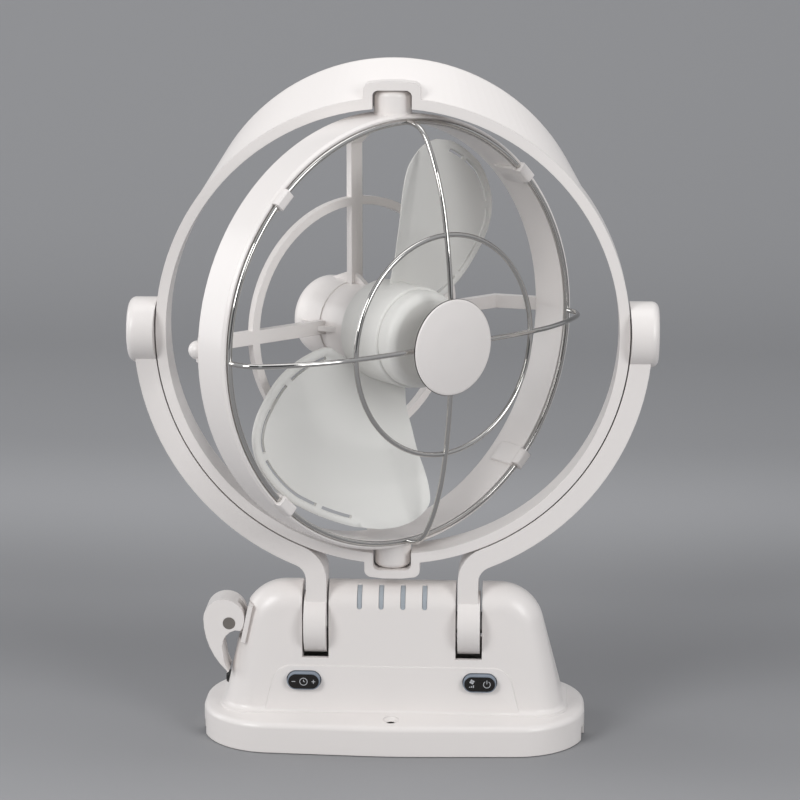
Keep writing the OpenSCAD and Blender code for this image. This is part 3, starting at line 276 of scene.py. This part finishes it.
# Edges as (radius, degrees from the blade's middle line).
LEADING = [(20.5, -34), (23.5, -38), (26.5, -50), (30, -57), (40, -55.9), (50, -53), (60, -49.1),
           (70, -44.3), (78, -40.4), (85, -35.6), (90, -29.3), (92.7, -22)]
TRAILING = [(93.2, 11), (91.4, 16), (88, 21), (82, 25.6), (75, 27), (66, 27.2), (56, 26.5), (46, 26.6),
            (36, 26.7), (26, 30.6), (20.5, 31)]
# Slots beside the rim, as pairs of starts and ends in degrees from the middle line.
SLOTS = [(-58, -56.2), (-55.4, -53.6), (-52.8, -47.2), (-46.2, -30.6), (-29.4, -8.6), (-7.4, 2.5)]
SLOT_IN = 4.2
SLOT_W = 1.5
# Height of a blade's middle surface: at a spot well out, then its slopes from there, its twist
# and its curve across.
MID_OUT, MID_RISE = 60, 0.72
ACROSS_SLOPE, OUT_SLOPE, TWIST, CAMBER = 0.4306, 0.0915, -0.000175, 0.002108


def polar(r, deg):
    """Flat point at a radius and an angle in degrees."""
    a = math.radians(deg)
    return Vector((r * math.cos(a), r * math.sin(a)))


def flat_curve(points, steps=4):
    """Smooth flat curve through flat points."""
    return [Vector(p[:2]) for p in smooth_path([(p.x, p.y, 0) for p in points], steps)]


def inset_run(run, by):
    """A row of points moved to its left by a distance."""
    moved = []
    for i, p in enumerate(run):
        along = (run[min(i + 1, len(run) - 1)] - run[max(i - 1, 0)]).normalized()
        moved.append(p + by * Vector((-along.y, along.x)))
    return moved


def resample(run, step):
    """The same row of points at even distances."""
    points = [run[0]]
    left = step
    for a, b in zip(run, run[1:]):
        length = (b - a).length
        while left <= length:
            points.append(a + (b - a) * left / length)
            left += step
        left -= length
    return points


def inside(p, outline):
    """Whether a 2-D point lies in an outline."""
    odd = False
    for a, b in zip(outline, outline[1:] + outline[:1]):
        if (a.y > p[1]) != (b.y > p[1]) and p[0] < a.x + (p[1] - a.y) * (b.x - a.x) / (b.y - a.y):
            odd = not odd
    return odd


def gap_to(p, run):
    """Distance from a 2-D point to a row of points."""
    return min(math.hypot(p[0] - q.x, p[1] - q.y) for q in run)


TIP = [polar(TIP_R, a) for a in range(-16, 8, 4)]


def blade_height(p):
    """Height along the fan's axis of a blade's middle surface over a flat point."""
    out = p[0] - MID_OUT
    return MID_RISE + ACROSS_SLOPE * p[1] + TWIST * out * p[1] + OUT_SLOPE * out + CAMBER * p[1] ** 2


BEAD_RUN = resample(flat_curve([polar(*p) for p in LEADING] + TIP), 1.0)
BACK_RUN = resample(flat_curve([polar(*p) for p in TRAILING]), 1.6)


def slot_outline(first, last):
    """Narrow slot that follows the rim between two angles."""
    mid = [p for p in inset_run(BEAD_RUN, SLOT_IN)
           if p.length > HUB_R + 8 and first <= math.degrees(math.atan2(p.y, p.x)) <= last]
    return inset_run(mid, -SLOT_W / 2) + inset_run(mid, SLOT_W / 2)[::-1]


def blade_mesh(turn):
    """One blade: a flat outline with slots, cut into triangles and laid on the middle surface.
    The strip outside the slots is a rounded bead, thicker than the blade."""
    outline = BEAD_RUN + BACK_RUN
    slots = [slot_outline(*s) for s in SLOTS]
    lines = [outline] + slots
    points, edges = [], []
    for line in lines:
        start = len(points)
        points += line
        edges += [(start + k, start + (k + 1) % len(line)) for k in range(len(line))]
    # Fine points along the bead, then coarse ones over the rest.
    fixed = list(points)
    step, clear = 1.3, 0.35
    for offset in (0.5, 1.1, 1.9, 2.8, 3.6, 5.2, 6.2):
        near_rim = [p for p in resample(inset_run(BEAD_RUN, offset), step) if inside(p, outline)]
        points += [p for p in near_rim if gap_to(p, fixed) > clear]
    fixed = list(points)
    step, clear = 2.4, 1.2
    first_r, first_angle, sweep = 21.5, -60, 92
    for row in range(int((TIP_R - HUB_R) / step) + 2):
        r = first_r + row * step
        for k in range(int(r * math.radians(sweep) / step) + 1):
            p = polar(r, first_angle + math.degrees(k * step / r))
            if inside(p, outline) and gap_to(p, fixed) > clear:
                points.append(p)
    verts, _, tris, *_ = delaunay_2d_cdt(points, edges, [], 0, 0.001)
    kept = []
    for t in tris:
        mid = sum((verts[k] for k in t), Vector((0, 0))) / 3
        if inside(mid, outline) and not any(inside(mid, s) for s in slots):
            kept.append(t)
    spin = math.radians(turn)

    def lift(p, side):
        """Flat point raised to the upper (1) or lower (-1) surface of the turned blade."""
        from_edge = gap_to(p, BEAD_RUN)
        bead = max(0.0, 1 - ((from_edge - BEAD_W / 2.2) / (BEAD_W / 2)) ** 2)
        back = min(1.0, 0.45 + gap_to(p, BACK_RUN) / 3)
        half = (BLADE_T * back + (BEAD_T - BLADE_T) * math.sqrt(bead)) / 2
        height = blade_height(p)
        if math.hypot(*p) < HUB_R:
            height = max(height, HUB_BACK + 1)
        x, y = p
        return (x * math.cos(spin) - y * math.sin(spin), x * math.sin(spin) + y * math.cos(spin),
                height + side * half)

    top = [lift(v, 1) for v in verts]
    low = [lift(v, -1) for v in verts]
    count = len(verts)
    faces = [tuple(t) for t in kept] + [tuple(count + k for k in reversed(t)) for t in kept]
    open_edges = {}
    for t in kept:
        for k in range(3):
            a, b = t[k], t[(k + 1) % 3]
            if (b, a) in open_edges:
                del open_edges[(b, a)]
            else:
                open_edges[(a, b)] = True
    faces += [(a, count + a, count + b, b) for a, b in open_edges]
    return top + low, faces


def make_impeller():
    """Two blades on a hub, with the dome in front of it."""
    for name, turn in (("impeller_blade_up", UPPER_TURN), ("impeller_blade_down", LOWER_TURN)):
        verts, faces = blade_mesh(turn)
        add(name, verts, faces, HEAD, BLADE, "fan", 55)
    hub = revolve("impeller_hub", [(p.x, p.y) for p in rounded([
        (22, HUB_BACK, 0.6), (HUB_R, HUB_BACK, 0.7), (HUB_R, 18, 1.0), (3, 18, 0), (3, 16, 0), (22, 16, 1)])],
        HEAD, BLADE, "fan")
    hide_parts("impeller")
    cap = revolve("spinner_dome", [(p.x, p.y) for p in rounded([
        (0.01, 16.4, 0), (0.01, 28.2, 0), (12, 28.1, 30), (22.8, 27.6, 4.5), (22.8, 18, 0.4), (21, 18, 0),
        (21, 25.6, 4), (9, 26.4, 0), (6, 16.4, 0)], 10)], HEAD, BLADE, "fan")
    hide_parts("spinner_cap")


make_impeller()


# ---------------------------------------------------------------- guard
WIRE_R = 1.2
GUARD_R = 100.6
GUARD_A = 10.4
FRONT_A = 43.6
INNER_R = 51.6
CAP_R = 23.0


def ring_path(radius, height, turns=180):
    """Circle of points about z."""
    return [(radius * math.cos(TAU * i / turns), radius * math.sin(TAU * i / turns), height)
            for i in range(turns)]


def wire_half(dip):
    """Half a guard wire as (radius, height), lower by dip where it passes under the other."""
    return [(GUARD_R, GUARD_A + WIRE_R), (100.2, 16.0), (98.6, 20.4), (95.0, 24.4), (89.5, 28.0),
            (82.5, 31.4), (74, 34.7), (64, 37.7), (53, 39.9 - dip * 0.1), (42, 41.6 - dip * 0.4),
            (30, 42.9 - dip * 0.8), (18, FRONT_A - dip), (8, FRONT_A - dip)]


def guard_wire(name, dip, upright, node):
    """Wire across the front, from rim to rim."""
    half = wire_half(dip)
    path = [(r, 0, a) for r, a in half] + [(0, 0, FRONT_A - dip)]
    path += [(-r, 0, a) for r, a in reversed(half)]
    if upright:
        path = [(0, x, z) for x, _, z in path]
    wire = rod(name, smooth_path(path, 6), WIRE_R, HEAD, CHROME, "head")
    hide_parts(node)


def guard_ring(name, radius, height, node):
    """Closed wire ring."""
    ring = rod(name, ring_path(radius, height), WIRE_R, HEAD, CHROME, "head", closed=True)
    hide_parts(node)


def clip_pad(turn):
    """Raised pad inside the shroud behind a clip."""
    half_w, back, front, pad_r = 5.5, -5, 10, 98
    outline = [(p.x, p.y) for p in rounded([(-half_w, back, 1.5), (half_w, back, 1.5),
                                            (half_w, front, 0.4), (-half_w, front, 0.4)], 4)]
    rows = []
    for shrink, r in ((0, 99.6), (0, 98.3), (0.4, 97.9)):
        row = []
        for x, a in outline:
            x, a = x * (1 - shrink / half_w), a + (shrink if a < 0 else 0)
            angle = math.radians(turn) + x / pad_r
            row.append((r * math.cos(angle), r * math.sin(angle), a))
        rows.append(row)
    loft("clip_pad_" + str(turn), rows, HEAD, SHELL, "head")


guard_ring("guard_rim", GUARD_R, GUARD_A, "guard_outer_ring")
guard_ring("guard_middle_ring", INNER_R, FRONT_A - 4.0, "guard_inner_ring")
for clip_turn in (45, 135, 225, 315):
    clip_pad(clip_turn)
cover = revolve("guard_cap_dome", [(p.x, p.y) for p in rounded([
    (0.01, 44.9, 0), (0.01, 47.75, 0), (12, 47.2, 60), (22.2, 45.9, 2.0), (CAP_R, 44.9, 0.4)], 8)],
    HEAD, SHELL, "head")
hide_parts("guard_cap")
guard_wire("guard_wire_up", 0.0, True, "guard_upright_wire")
guard_wire("guard_wire_across", 2 * WIRE_R + 0.05, False, "guard_level_wire")


# ---------------------------------------------------------------- base
WALL_FRONT, WALL_REAR, WALL_SIDE = -27.0, 27.0, 83.1
SIDE_LEAN, FRONT_LEAN, REAR_LEAN = math.radians(12.5), math.radians(2.3), math.radians(27.72)
FLANGE_TOP, HOUSING_TOP = 17.0, 79.8
FLANGE_EDGE_Z, FLANGE_EDGE_R, FLANGE_SLOPE = 12.1, 3.0, 0.19
SKIN_FOOT = 13.0
SIDE_R, FRONT_R, REAR_R, CORNER_R = 22, 11.5, 12.0, 15.0
YOKE_Y, HINGE_Z = FOLD_POS.y, FOLD_POS.z
SHELL_T = 2.5
SLOT_EDGES = (30.75, 43.55)
SLOT_FLOOR = 44.0
PIN_X, CAM_LEAN = -79.27, -12
WINDOW_XS, WINDOW_W, WINDOW_LOW, WINDOW_BACK = (-15.75, -5.25, 5.25, 15.75), 2.4, 68.5, -18.3
KEY_X, KEY_Z = 42.7, 33
MOUNT_YS, MOUNT_R = (-35, 35), 2.15
# Far beyond the base on any side, for cuts that run right through.
FAR_Y, FAR_Z = 90, 100


def closed_mesh(verts, faces):
    """Millimetre mesh with its open rims filled."""
    mesh = bpy.data.meshes.new("solid")
    mesh.from_pydata([Vector(v) for v in verts], [], faces)
    bm = bmesh.new()
    bm.from_mesh(mesh)
    bmesh.ops.remove_doubles(bm, verts=bm.verts, dist=0.002)
    bmesh.ops.dissolve_degenerate(bm, edges=bm.edges, dist=0.001)
    bmesh.ops.holes_fill(bm, edges=[e for e in bm.edges if e.is_boundary])
    bmesh.ops.recalc_face_normals(bm, faces=bm.faces)
    bm.to_mesh(mesh)
    bm.free()
    return mesh


def rows_mesh(rows, closed=False):
    """Skin over rows of points, as a closed solid."""
    return closed_mesh([p for row in rows for p in row], skin_faces(len(rows), len(rows[0]), closed))


def block(low, high, turn=None):
    """Box between two corners, turned into place."""
    (x0, y0, z0), (x1, y1, z1) = low, high
    rows = [[(x0, y0, z), (x1, y0, z), (x1, y1, z), (x0, y1, z)] for z in (z0, z1)]
    if turn:
        rows = [[turn @ Vector(p) for p in row] for row in rows]
    return rows_mesh(rows)


def prism(outline, start, end, turn):
    """A flat outline pushed along its own z from start to end, then turned into place."""
    return rows_mesh([[turn @ Vector((p[0], p[1], z)) for p in outline] for z in (start, end)])


def disc(r, steps=48, centre=(0, 0)):
    """Flat circle of points."""
    return [(centre[0] + r * math.cos(TAU * k / steps), centre[1] + r * math.sin(TAU * k / steps))
            for k in range(steps)]


def pill(w, h, steps=10):
    """Flat outline with half-round ends."""
    r = h / 2 - 0.001
    return [(p.x, p.y) for p in rounded([(-w / 2, -h / 2, r), (w / 2, -h / 2, r), (w / 2, h / 2, r),
                                         (-w / 2, h / 2, r)], steps)]


def facing_front(x, y, z):
    """Takes a flat outline to a plane that faces the front, its own z going back."""
    return (Matrix.Translation((x, y, z)) @ Matrix.Rotation(math.radians(90), 4, "X")
            @ Matrix.Scale(-1, 4, (0, 0, 1)))


def along_x(x, y, z):
    """Takes a flat outline to a plane that faces the side, its own z going right."""
    return Matrix.Translation((x, y, z)) @ Matrix.Rotation(math.radians(90), 4, "Y")


def combine(mesh, others, operation="DIFFERENCE"):
    """The mesh after cutting, joining or keeping with each of the others in turn."""
    for other in others:
        holder = bpy.data.objects.new("holder", mesh)
        tool = bpy.data.objects.new("tool", other)
        for obj in (holder, tool):
            bpy.context.scene.collection.objects.link(obj)
        modifier = holder.modifiers.new("combine", "BOOLEAN")
        modifier.operation = operation
        modifier.solver = "EXACT"
        modifier.object = tool
        bpy.context.view_layer.update()
        mesh = bpy.data.meshes.new_from_object(holder.evaluated_get(bpy.context.evaluated_depsgraph_get()))
        bpy.data.objects.remove(holder)
        bpy.data.objects.remove(tool)
    return mesh


def skin(inset):
    """Housing from the flange up: flat leaning walls under a rounded ridge."""
    edge_x = (WALL_SIDE - (HOUSING_TOP - SIDE_R - FLANGE_TOP) * math.tan(SIDE_LEAN)
              - SIDE_R / math.cos(SIDE_LEAN))
    edge_front = (WALL_FRONT + (HOUSING_TOP - FRONT_R - FLANGE_TOP) * math.tan(FRONT_LEAN)
                  + FRONT_R / math.cos(FRONT_LEAN))
    edge_rear = (WALL_REAR - (HOUSING_TOP - REAR_R - FLANGE_TOP) * math.tan(REAR_LEAN)
                 - REAR_R / math.cos(REAR_LEAN))
    balls = []
    for y, r in ((edge_front, FRONT_R), (edge_rear, REAR_R)):
        for t in range(11):
            a = (math.pi / 2 - SIDE_LEAN) * t / 10
            x = edge_x + (SIDE_R - r) * math.sin(a)
            z = HOUSING_TOP - SIDE_R + (SIDE_R - r) * math.cos(a)
            balls += [(Vector((s * x, y, z)), r - inset) for s in (-1, 1)]
    below = FLANGE_TOP - SKIN_FOOT
    low_x = WALL_SIDE + below * math.tan(SIDE_LEAN) - inset / math.cos(SIDE_LEAN)
    low_front = WALL_FRONT - below * math.tan(FRONT_LEAN) + inset
    low_rear = WALL_REAR + below * math.tan(REAR_LEAN) - inset / math.cos(REAR_LEAN)
    corner = CORNER_R - inset
    low = [Vector((s * (low_x - corner), y, SKIN_FOOT))
           for s in (-1, 1) for y in (low_front + corner, low_rear - corner)]

    def high_point(n):
        """Point of the ridge that lies farthest in a direction."""
        centre, r = max(balls, key=lambda ball: ball[0].dot(n) + ball[1])
        return centre + r * n

    def low_point(n):
        """Point of the walls' foot that lies farthest in a direction."""
        flat = Vector((n.x, n.y, 0)).normalized()
        return max(low, key=lambda c: c.dot(n)) + corner * flat

    columns, rises = 240, 18
    rows = [[] for _ in range(rises + 2)]
    for k in range(columns):
        a = TAU * (k + 0.5) / columns
        near, far = -0.3, 1.5
        for _ in range(30):
            rise = (near + far) / 2
            n = Vector((math.cos(a) * math.cos(rise), math.sin(a) * math.cos(rise), math.sin(rise)))
            if low_point(n).dot(n) > high_point(n).dot(n):
                near = rise
            else:
                far = rise
        rows[0].append(low_point(n))
        for i in range(rises + 1):
            e = far + (math.pi / 2 - 0.0005 - far) * i / rises
            n = Vector((math.cos(a) * math.cos(e), math.sin(a) * math.cos(e), math.sin(e)))
            rows[i + 1].append(high_point(n))
    return rows_mesh(rows)


def flange_row(inset, z):
    """Outline of the flange, moved inward, at a height."""
    w, d, r = 94.0 - inset, 43.0 - inset, max(1.0, 35.5 - inset)
    bow = 4.5
    return [(p.x, p.y, z) for p in rounded([(-w, -d + bow, r), (0, -d, 300), (w, -d + bow, r),
                                            (w, d - bow, r), (0, d, 300), (-w, d - bow, r)], 14)]


def flange_skin():
    """Flange with a soft edge and a top that rises toward the walls."""
    rows = [flange_row(0, 0), flange_row(0, FLANGE_EDGE_Z)]
    for k in range(1, 8):
        a = math.radians(78) * k / 7
        rows.append(flange_row(FLANGE_EDGE_R * (1 - math.cos(a)),
                               FLANGE_EDGE_Z + FLANGE_EDGE_R * math.sin(a)))
    rows += [flange_row(i, 15.03 + (i - 2.4) * FLANGE_SLOPE) for i in (5, 8, 12, 16, 20)]
    return rows_mesh(rows)


def wall_fillet(size=2.0):
    """Concave rounding where the walls meet the flange."""
    rows = []
    for step in range(8):
        a = math.pi / 2 * step / 7
        out, up = size * (1 - math.sin(a)), size * (1 - math.cos(a))
        rows.append((out, 17.55 - FLANGE_SLOPE * out + up))
    rows = [(size, 15.0)] + rows + [(-2.0, 17.4 + size), (-2.0, 15.0)]
    sections = []
    for out, z in rows:
        x = WALL_SIDE + 0.05 - (z - FLANGE_TOP) * math.tan(SIDE_LEAN) + out
        y0 = WALL_FRONT - out
        y1 = WALL_REAR - (z - FLANGE_TOP) * math.tan(REAR_LEAN) + out
        r = CORNER_R + out
        outline = rounded([(-x, y0, r), (x, y0, r), (x, y1, r), (-x, y1, r)], 12)
        sections.append([(p.x, p.y, z) for p in outline])
    return rows_mesh(sections, closed=True)


def front_panel():
    """Raised panel on the front wall, wider at its foot."""
    foot, top, low_z, top_z, corner = 62.2, 56.4, 16.5, 40.2, 10
    outline = [(p.x, p.y) for p in rounded([(-foot, low_z, 0), (foot, low_z, 0), (top, top_z, corner),
                                            (-top, top_z, corner)], 12)]
    lean = math.tan(FRONT_LEAN)
    rows = []
    for shrink, proud in ((0, -1.0), (0, 0.35), (0.25, 0.6)):
        rows.append([(x - math.copysign(shrink, x), WALL_FRONT + (z - FLANGE_TOP) * lean - proud,
                      z - (shrink if z > FLANGE_TOP else 0)) for x, z in outline])
    return rows_mesh(rows)


def window_cutter(x):
    """Upright slot with a round foot on the front and a round end on the ridge."""
    r = WINDOW_W / 2
    foot = [math.pi + math.pi * k / 10 for k in range(1, 10)]
    upright = prism([(-r, r)] + [(r * math.cos(a), r + r * math.sin(a)) for a in foot]
                    + [(r, r), (r, 20), (-r, 20)], 0, 13.5, facing_front(x, -31, WINDOW_LOW))
    end = [math.pi * k / 10 for k in range(11)]
    flat = prism([(x - r, -40), (x + r, -40)]
                 + [(x + r * math.cos(a), WINDOW_BACK + r * math.sin(a)) for a in end],
                 60, 95, Matrix.Identity(4))
    return combine(upright, [flat], "INTERSECT")


def make_base_housing():
    """Housing and flange in one hollow shell, with its openings cut."""
    at_pin = (Matrix.Translation((PIN_X, YOKE_Y, HINGE_Z)) @ Matrix.Rotation(math.radians(90), 4, "X")
              @ Matrix.Rotation(math.radians(CAM_LEAN), 4, "Z"))
    ribs = [block((s * x - 1, -FAR_Y, SLOT_FLOOR - 2), (s * x + 1, FAR_Y, FAR_Z))
            for s in (-1, 1) for x in (SLOT_EDGES[0] - 1, SLOT_EDGES[1] + 1)]
    backing = block((7.29, -10, -10.5), (12.69, 13, 10.5), at_pin)
    hollow = combine(skin(SHELL_T), ribs + [backing])
    under = rows_mesh([flange_row(SHELL_T, -1), flange_row(SHELL_T, 14.2)])
    body = combine(skin(0), [flange_skin(), wall_fillet(), front_panel()], "UNION")
    tools = [hollow, under]
    slot_x, half_slot = sum(SLOT_EDGES) / 2, (SLOT_EDGES[1] - SLOT_EDGES[0]) / 2
    tools += [block((s * slot_x - half_slot, -FAR_Y, SLOT_FLOOR), (s * slot_x + half_slot, FAR_Y, FAR_Z))
              for s in (-1, 1)]
    tools += [window_cutter(x) for x in WINDOW_XS]
    tools += [prism(pill(16.8, 9.2), 0, 14, facing_front(s * KEY_X, -29.6, KEY_Z)) for s in (-1, 1)]
    for y in MOUNT_YS:
        tools.append(prism(disc(MOUNT_R), -1, 30, Matrix.Translation((0, y, 0))))
        tools.append(rows_mesh([[(a, b + y, z) for a, b in disc(r)]
                                for r, z in ((2.2, 14.4), (3.9, 16.1), (3.9, 20))]))
    cam_recess = block((-4, -8.2, -8.7), (9.69, 11.2, 8.7), at_pin)
    hinge_bore = prism(disc(6.27), -53.5, 53.5, along_x(0, YOKE_Y, HINGE_Z))
    rod_bore = prism(disc(3.45), 0, 40, along_x(PIN_X, YOKE_Y, HINGE_Z))
    inlet_bore = prism(disc(3.22), 0, 20, along_x(-86.7, YOKE_Y + 13, 26))
    tools += [cam_recess, hinge_bore, rod_bore, inlet_bore]
    tools += [block((s * 94 - 6, -15, -1), (s * 94 + 6, -5, 6.5)) for s in (-1, 1)]
    parting_line = block((46.2, -60, -1), (46.5, -42.65, 13.5))
    tools.append(parting_line)
    body = combine(body, tools)
    body.transform(Matrix.Scale(MM, 4))
    shell = finish_piece("base_shell", body, SHELL, "base", 40)
    shell.modifiers.new("even_shading", "WEIGHTED_NORMAL").keep_sharp = True
    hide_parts("base_housing")


make_base_housing()


# ---------------------------------------------------------------- key signs
SIGN_FRONT, SIGN_BACK = -30.02, -29.98
LINE = 0.32
CLOCK_R, POWER_R, LOBE_R = 1.8, 1.65, 0.52


def sign(name, outlines, body):
    """Thin printed shapes on a key's face."""
    verts, faces = [], []
    for outline in outlines:
        start, count = len(verts), len(outline)
        verts += [(x, y, z) for y in (SIGN_FRONT, SIGN_BACK) for x, z in outline]
        faces += [tuple(start + k for k in range(count)),
                  tuple(start + count + k for k in range(count))[::-1]]
        faces += [(start + k, start + (k + 1) % count, start + count + (k + 1) % count, start + count + k)
                  for k in range(count)]
    add(name, verts, faces, BASE, SIGN, body)


def bar(x, z, w, h):
    """Rectangle about a point of the key's plane."""
    return [(x - w / 2, z - h / 2), (x + w / 2, z - h / 2), (x + w / 2, z + h / 2),
            (x - w / 2, z + h / 2)]


def arc_bar(x, z, r, w, start, end, steps=20):
    """Part of a ring about a point of the key's plane, between two angles in degrees."""
    angles = [math.radians(start + (end - start) * k / steps) for k in range(steps + 1)]
    return ([(x + (r + w / 2) * math.cos(a), z + (r + w / 2) * math.sin(a)) for a in angles]
            + [(x + (r - w / 2) * math.cos(a), z + (r - w / 2) * math.sin(a)) for a in reversed(angles)])


minus = [bar(-47.6, KEY_Z, 1.8, LINE)]
clock = [arc_bar(-KEY_X, KEY_Z, CLOCK_R, LINE, 1, 179),
         arc_bar(-KEY_X, KEY_Z, CLOCK_R, LINE, 181, 359),
         bar(-KEY_X, 33.45, LINE, 1.0), bar(-42.35, 32.95, 0.7, LINE)]
plus = [bar(-37.9, KEY_Z, 1.8, LINE), bar(-37.9, 33.55, LINE, 0.75), bar(-37.9, 32.45, LINE, 0.75)]
sign("timer_signs", minus + clock + plus, "timer_key_body")
lobes = [disc(LOBE_R, 12, (39.0 + 0.72 * math.cos(a), 34.3 + 0.72 * math.sin(a)))
         for a in [0.3 + math.pi / 2 * k for k in range(4)]]
levels = [bar(37.9, 31.6, 0.5, 0.5), bar(38.8, 31.75, 0.5, 0.8), bar(39.7, 31.95, 0.5, 1.2)]
power = [arc_bar(46.2, KEY_Z, POWER_R, LINE, 120, 420), bar(46.2, 34.2, LINE, 1.9)]
sign("power_signs", lobes + levels + power, "power_key_body")


# ---------------------------------------------------------------- camera, light and floor
def make_camera():
    """Camera with the photo's place, turn and lens."""
    data = bpy.data.cameras.new("camera")
    data.sensor_width = 36.0
    data.sensor_fit = "HORIZONTAL"
    data.lens = 116.376
    data.clip_start, data.clip_end = 0.05, 20.0
    camera = bpy.data.objects.new("camera", data)
    yaw, pitch, roll = 2.781, -13.199, 0.046
    camera.matrix_world = (Matrix.Translation(Vector((61.66, -1216.0, 452.32)) * MM)
                           @ Matrix.Rotation(math.radians(yaw), 4, "Z")
                           @ Matrix.Rotation(math.radians(90 + pitch), 4, "X")
                           @ Matrix.Rotation(math.radians(roll), 4, "Z"))
    bpy.context.scene.collection.objects.link(camera)
    bpy.context.scene.camera = camera


def area_light(name, spot, aim, size, power):
    """White softbox at a spot in metres, turned to its aim."""
    data = bpy.data.lights.new(name, "AREA")
    data.shape = "RECTANGLE"
    data.size, data.size_y = size
    data.energy = power
    lamp = bpy.data.objects.new(name, data)
    lamp.location = spot
    lamp.rotation_euler = (Vector(aim) - Vector(spot)).to_track_quat("-Z", "Y").to_euler()
    bpy.context.scene.collection.objects.link(lamp)


def backdrop_painted_light():
    """Grey paper with light and shade painted into its colour from front to back: painted shade darkest just
    behind the object, then a painted band of light farther back.
    """
    mat = material("backdrop_painted_light_grey", linear(150, 150, 152), 0.85)
    nodes, links = mat.node_tree.nodes, mat.node_tree.links
    where = nodes.new("ShaderNodeTexCoord")
    split = nodes.new("ShaderNodeSeparateXYZ")
    spread = nodes.new("ShaderNodeMapRange")
    near, far = -0.2, 1.2
    spread.inputs["From Min"].default_value = near
    spread.inputs["From Max"].default_value = far
    ramp = nodes.new("ShaderNodeValToRGB")
    # Painted light and shade as tones by distance back in metres: a painted shadow dip near 0.12 and a painted
    # light band near 0.42.
    stops = [(-0.12, 156), (0.0, 146), (0.12, 136), (0.22, 144), (0.42, 166), (0.60, 154), (0.9, 152),
             (1.2, 158)]
    while len(ramp.color_ramp.elements) < len(stops):
        ramp.color_ramp.elements.new(0.5)
    for element, (y, tone) in zip(ramp.color_ramp.elements, stops):
        element.position = (y - near) / (far - near)
        element.color = linear(tone, tone, tone + 2)
    ramp.color_ramp.interpolation = "EASE"
    links.new(where.outputs["Object"], split.inputs["Vector"])
    links.new(split.outputs["Y"], spread.inputs["Value"])
    links.new(spread.outputs["Result"], ramp.inputs["Fac"])
    links.new(ramp.outputs["Color"], nodes["Principled BSDF"].inputs["Base Color"])
    return mat


def make_backdrop():
    """Floor that curves up into a wall behind the object."""
    back, bend, half_w, below = 1.6, 0.7, 2.4, 0.0004
    profile = [(-1.6, 0.0)]
    for i in range(17):
        a = math.pi / 2 * i / 16
        profile.append((back - bend + bend * math.sin(a), bend - bend * math.cos(a)))
    profile.append((back, 2.4))
    verts = [(x, y, z - below) for x in (-half_w, half_w) for y, z in profile]
    n = len(profile)
    faces = [(i, i + 1, n + i + 1, n + i) for i in range(n - 1)]
    mesh = bpy.data.meshes.new("backdrop")
    mesh.from_pydata(verts, [], faces)
    mesh.shade_smooth()
    mesh.materials.append(backdrop_painted_light())
    sweep = bpy.data.objects.new("backdrop", mesh)
    bpy.context.scene.collection.objects.link(sweep)


def make_flag(x):
    """Dark card beside the camera, for the chrome to mirror."""
    mesh = bpy.data.meshes.new("flag")
    half_w, y, top = 0.45, -1.7, 1.6
    corners = [(x - half_w, y, 0.0), (x + half_w, y, 0.0), (x + half_w, y, top), (x - half_w, y, top)]
    mesh.from_pydata(corners, [], [(0, 1, 2, 3)])
    mesh.materials.append(material("flag_black", linear(12, 12, 12), 0.9))
    card = bpy.data.objects.new("flag", mesh)
    bpy.context.scene.collection.objects.link(card)


def make_world():
    """Even soft sky."""
    world = bpy.data.worlds.new("studio")
    bpy.context.scene.world = world
    world.use_nodes = True
    sky = world.node_tree.nodes["Background"]
    sky.inputs["Color"].default_value = (0.95, 0.97, 1.0, 1)
    sky.inputs["Strength"].default_value = 0.57


make_camera()
make_backdrop()
make_flag(-0.55)
make_flag(0.55)
make_world()
MIDDLE = (0, 0, 0.18)
area_light("key_left", (-1.1, -1.3, 1.0), MIDDLE, (0.7, 0.9), 14.5)
area_light("fill_right", (1.2, -1.3, 0.8), MIDDLE, (0.7, 0.9), 11.5)
area_light("side_left", (-1.5, 0.3, 0.5), MIDDLE, (0.5, 1.0), 4.5)
area_light("top", (0.0, 0.0, 1.7), (0, 0, 0.1), (1.0, 0.8), 4)
bpy.context.scene.view_settings.view_transform = "Standard"
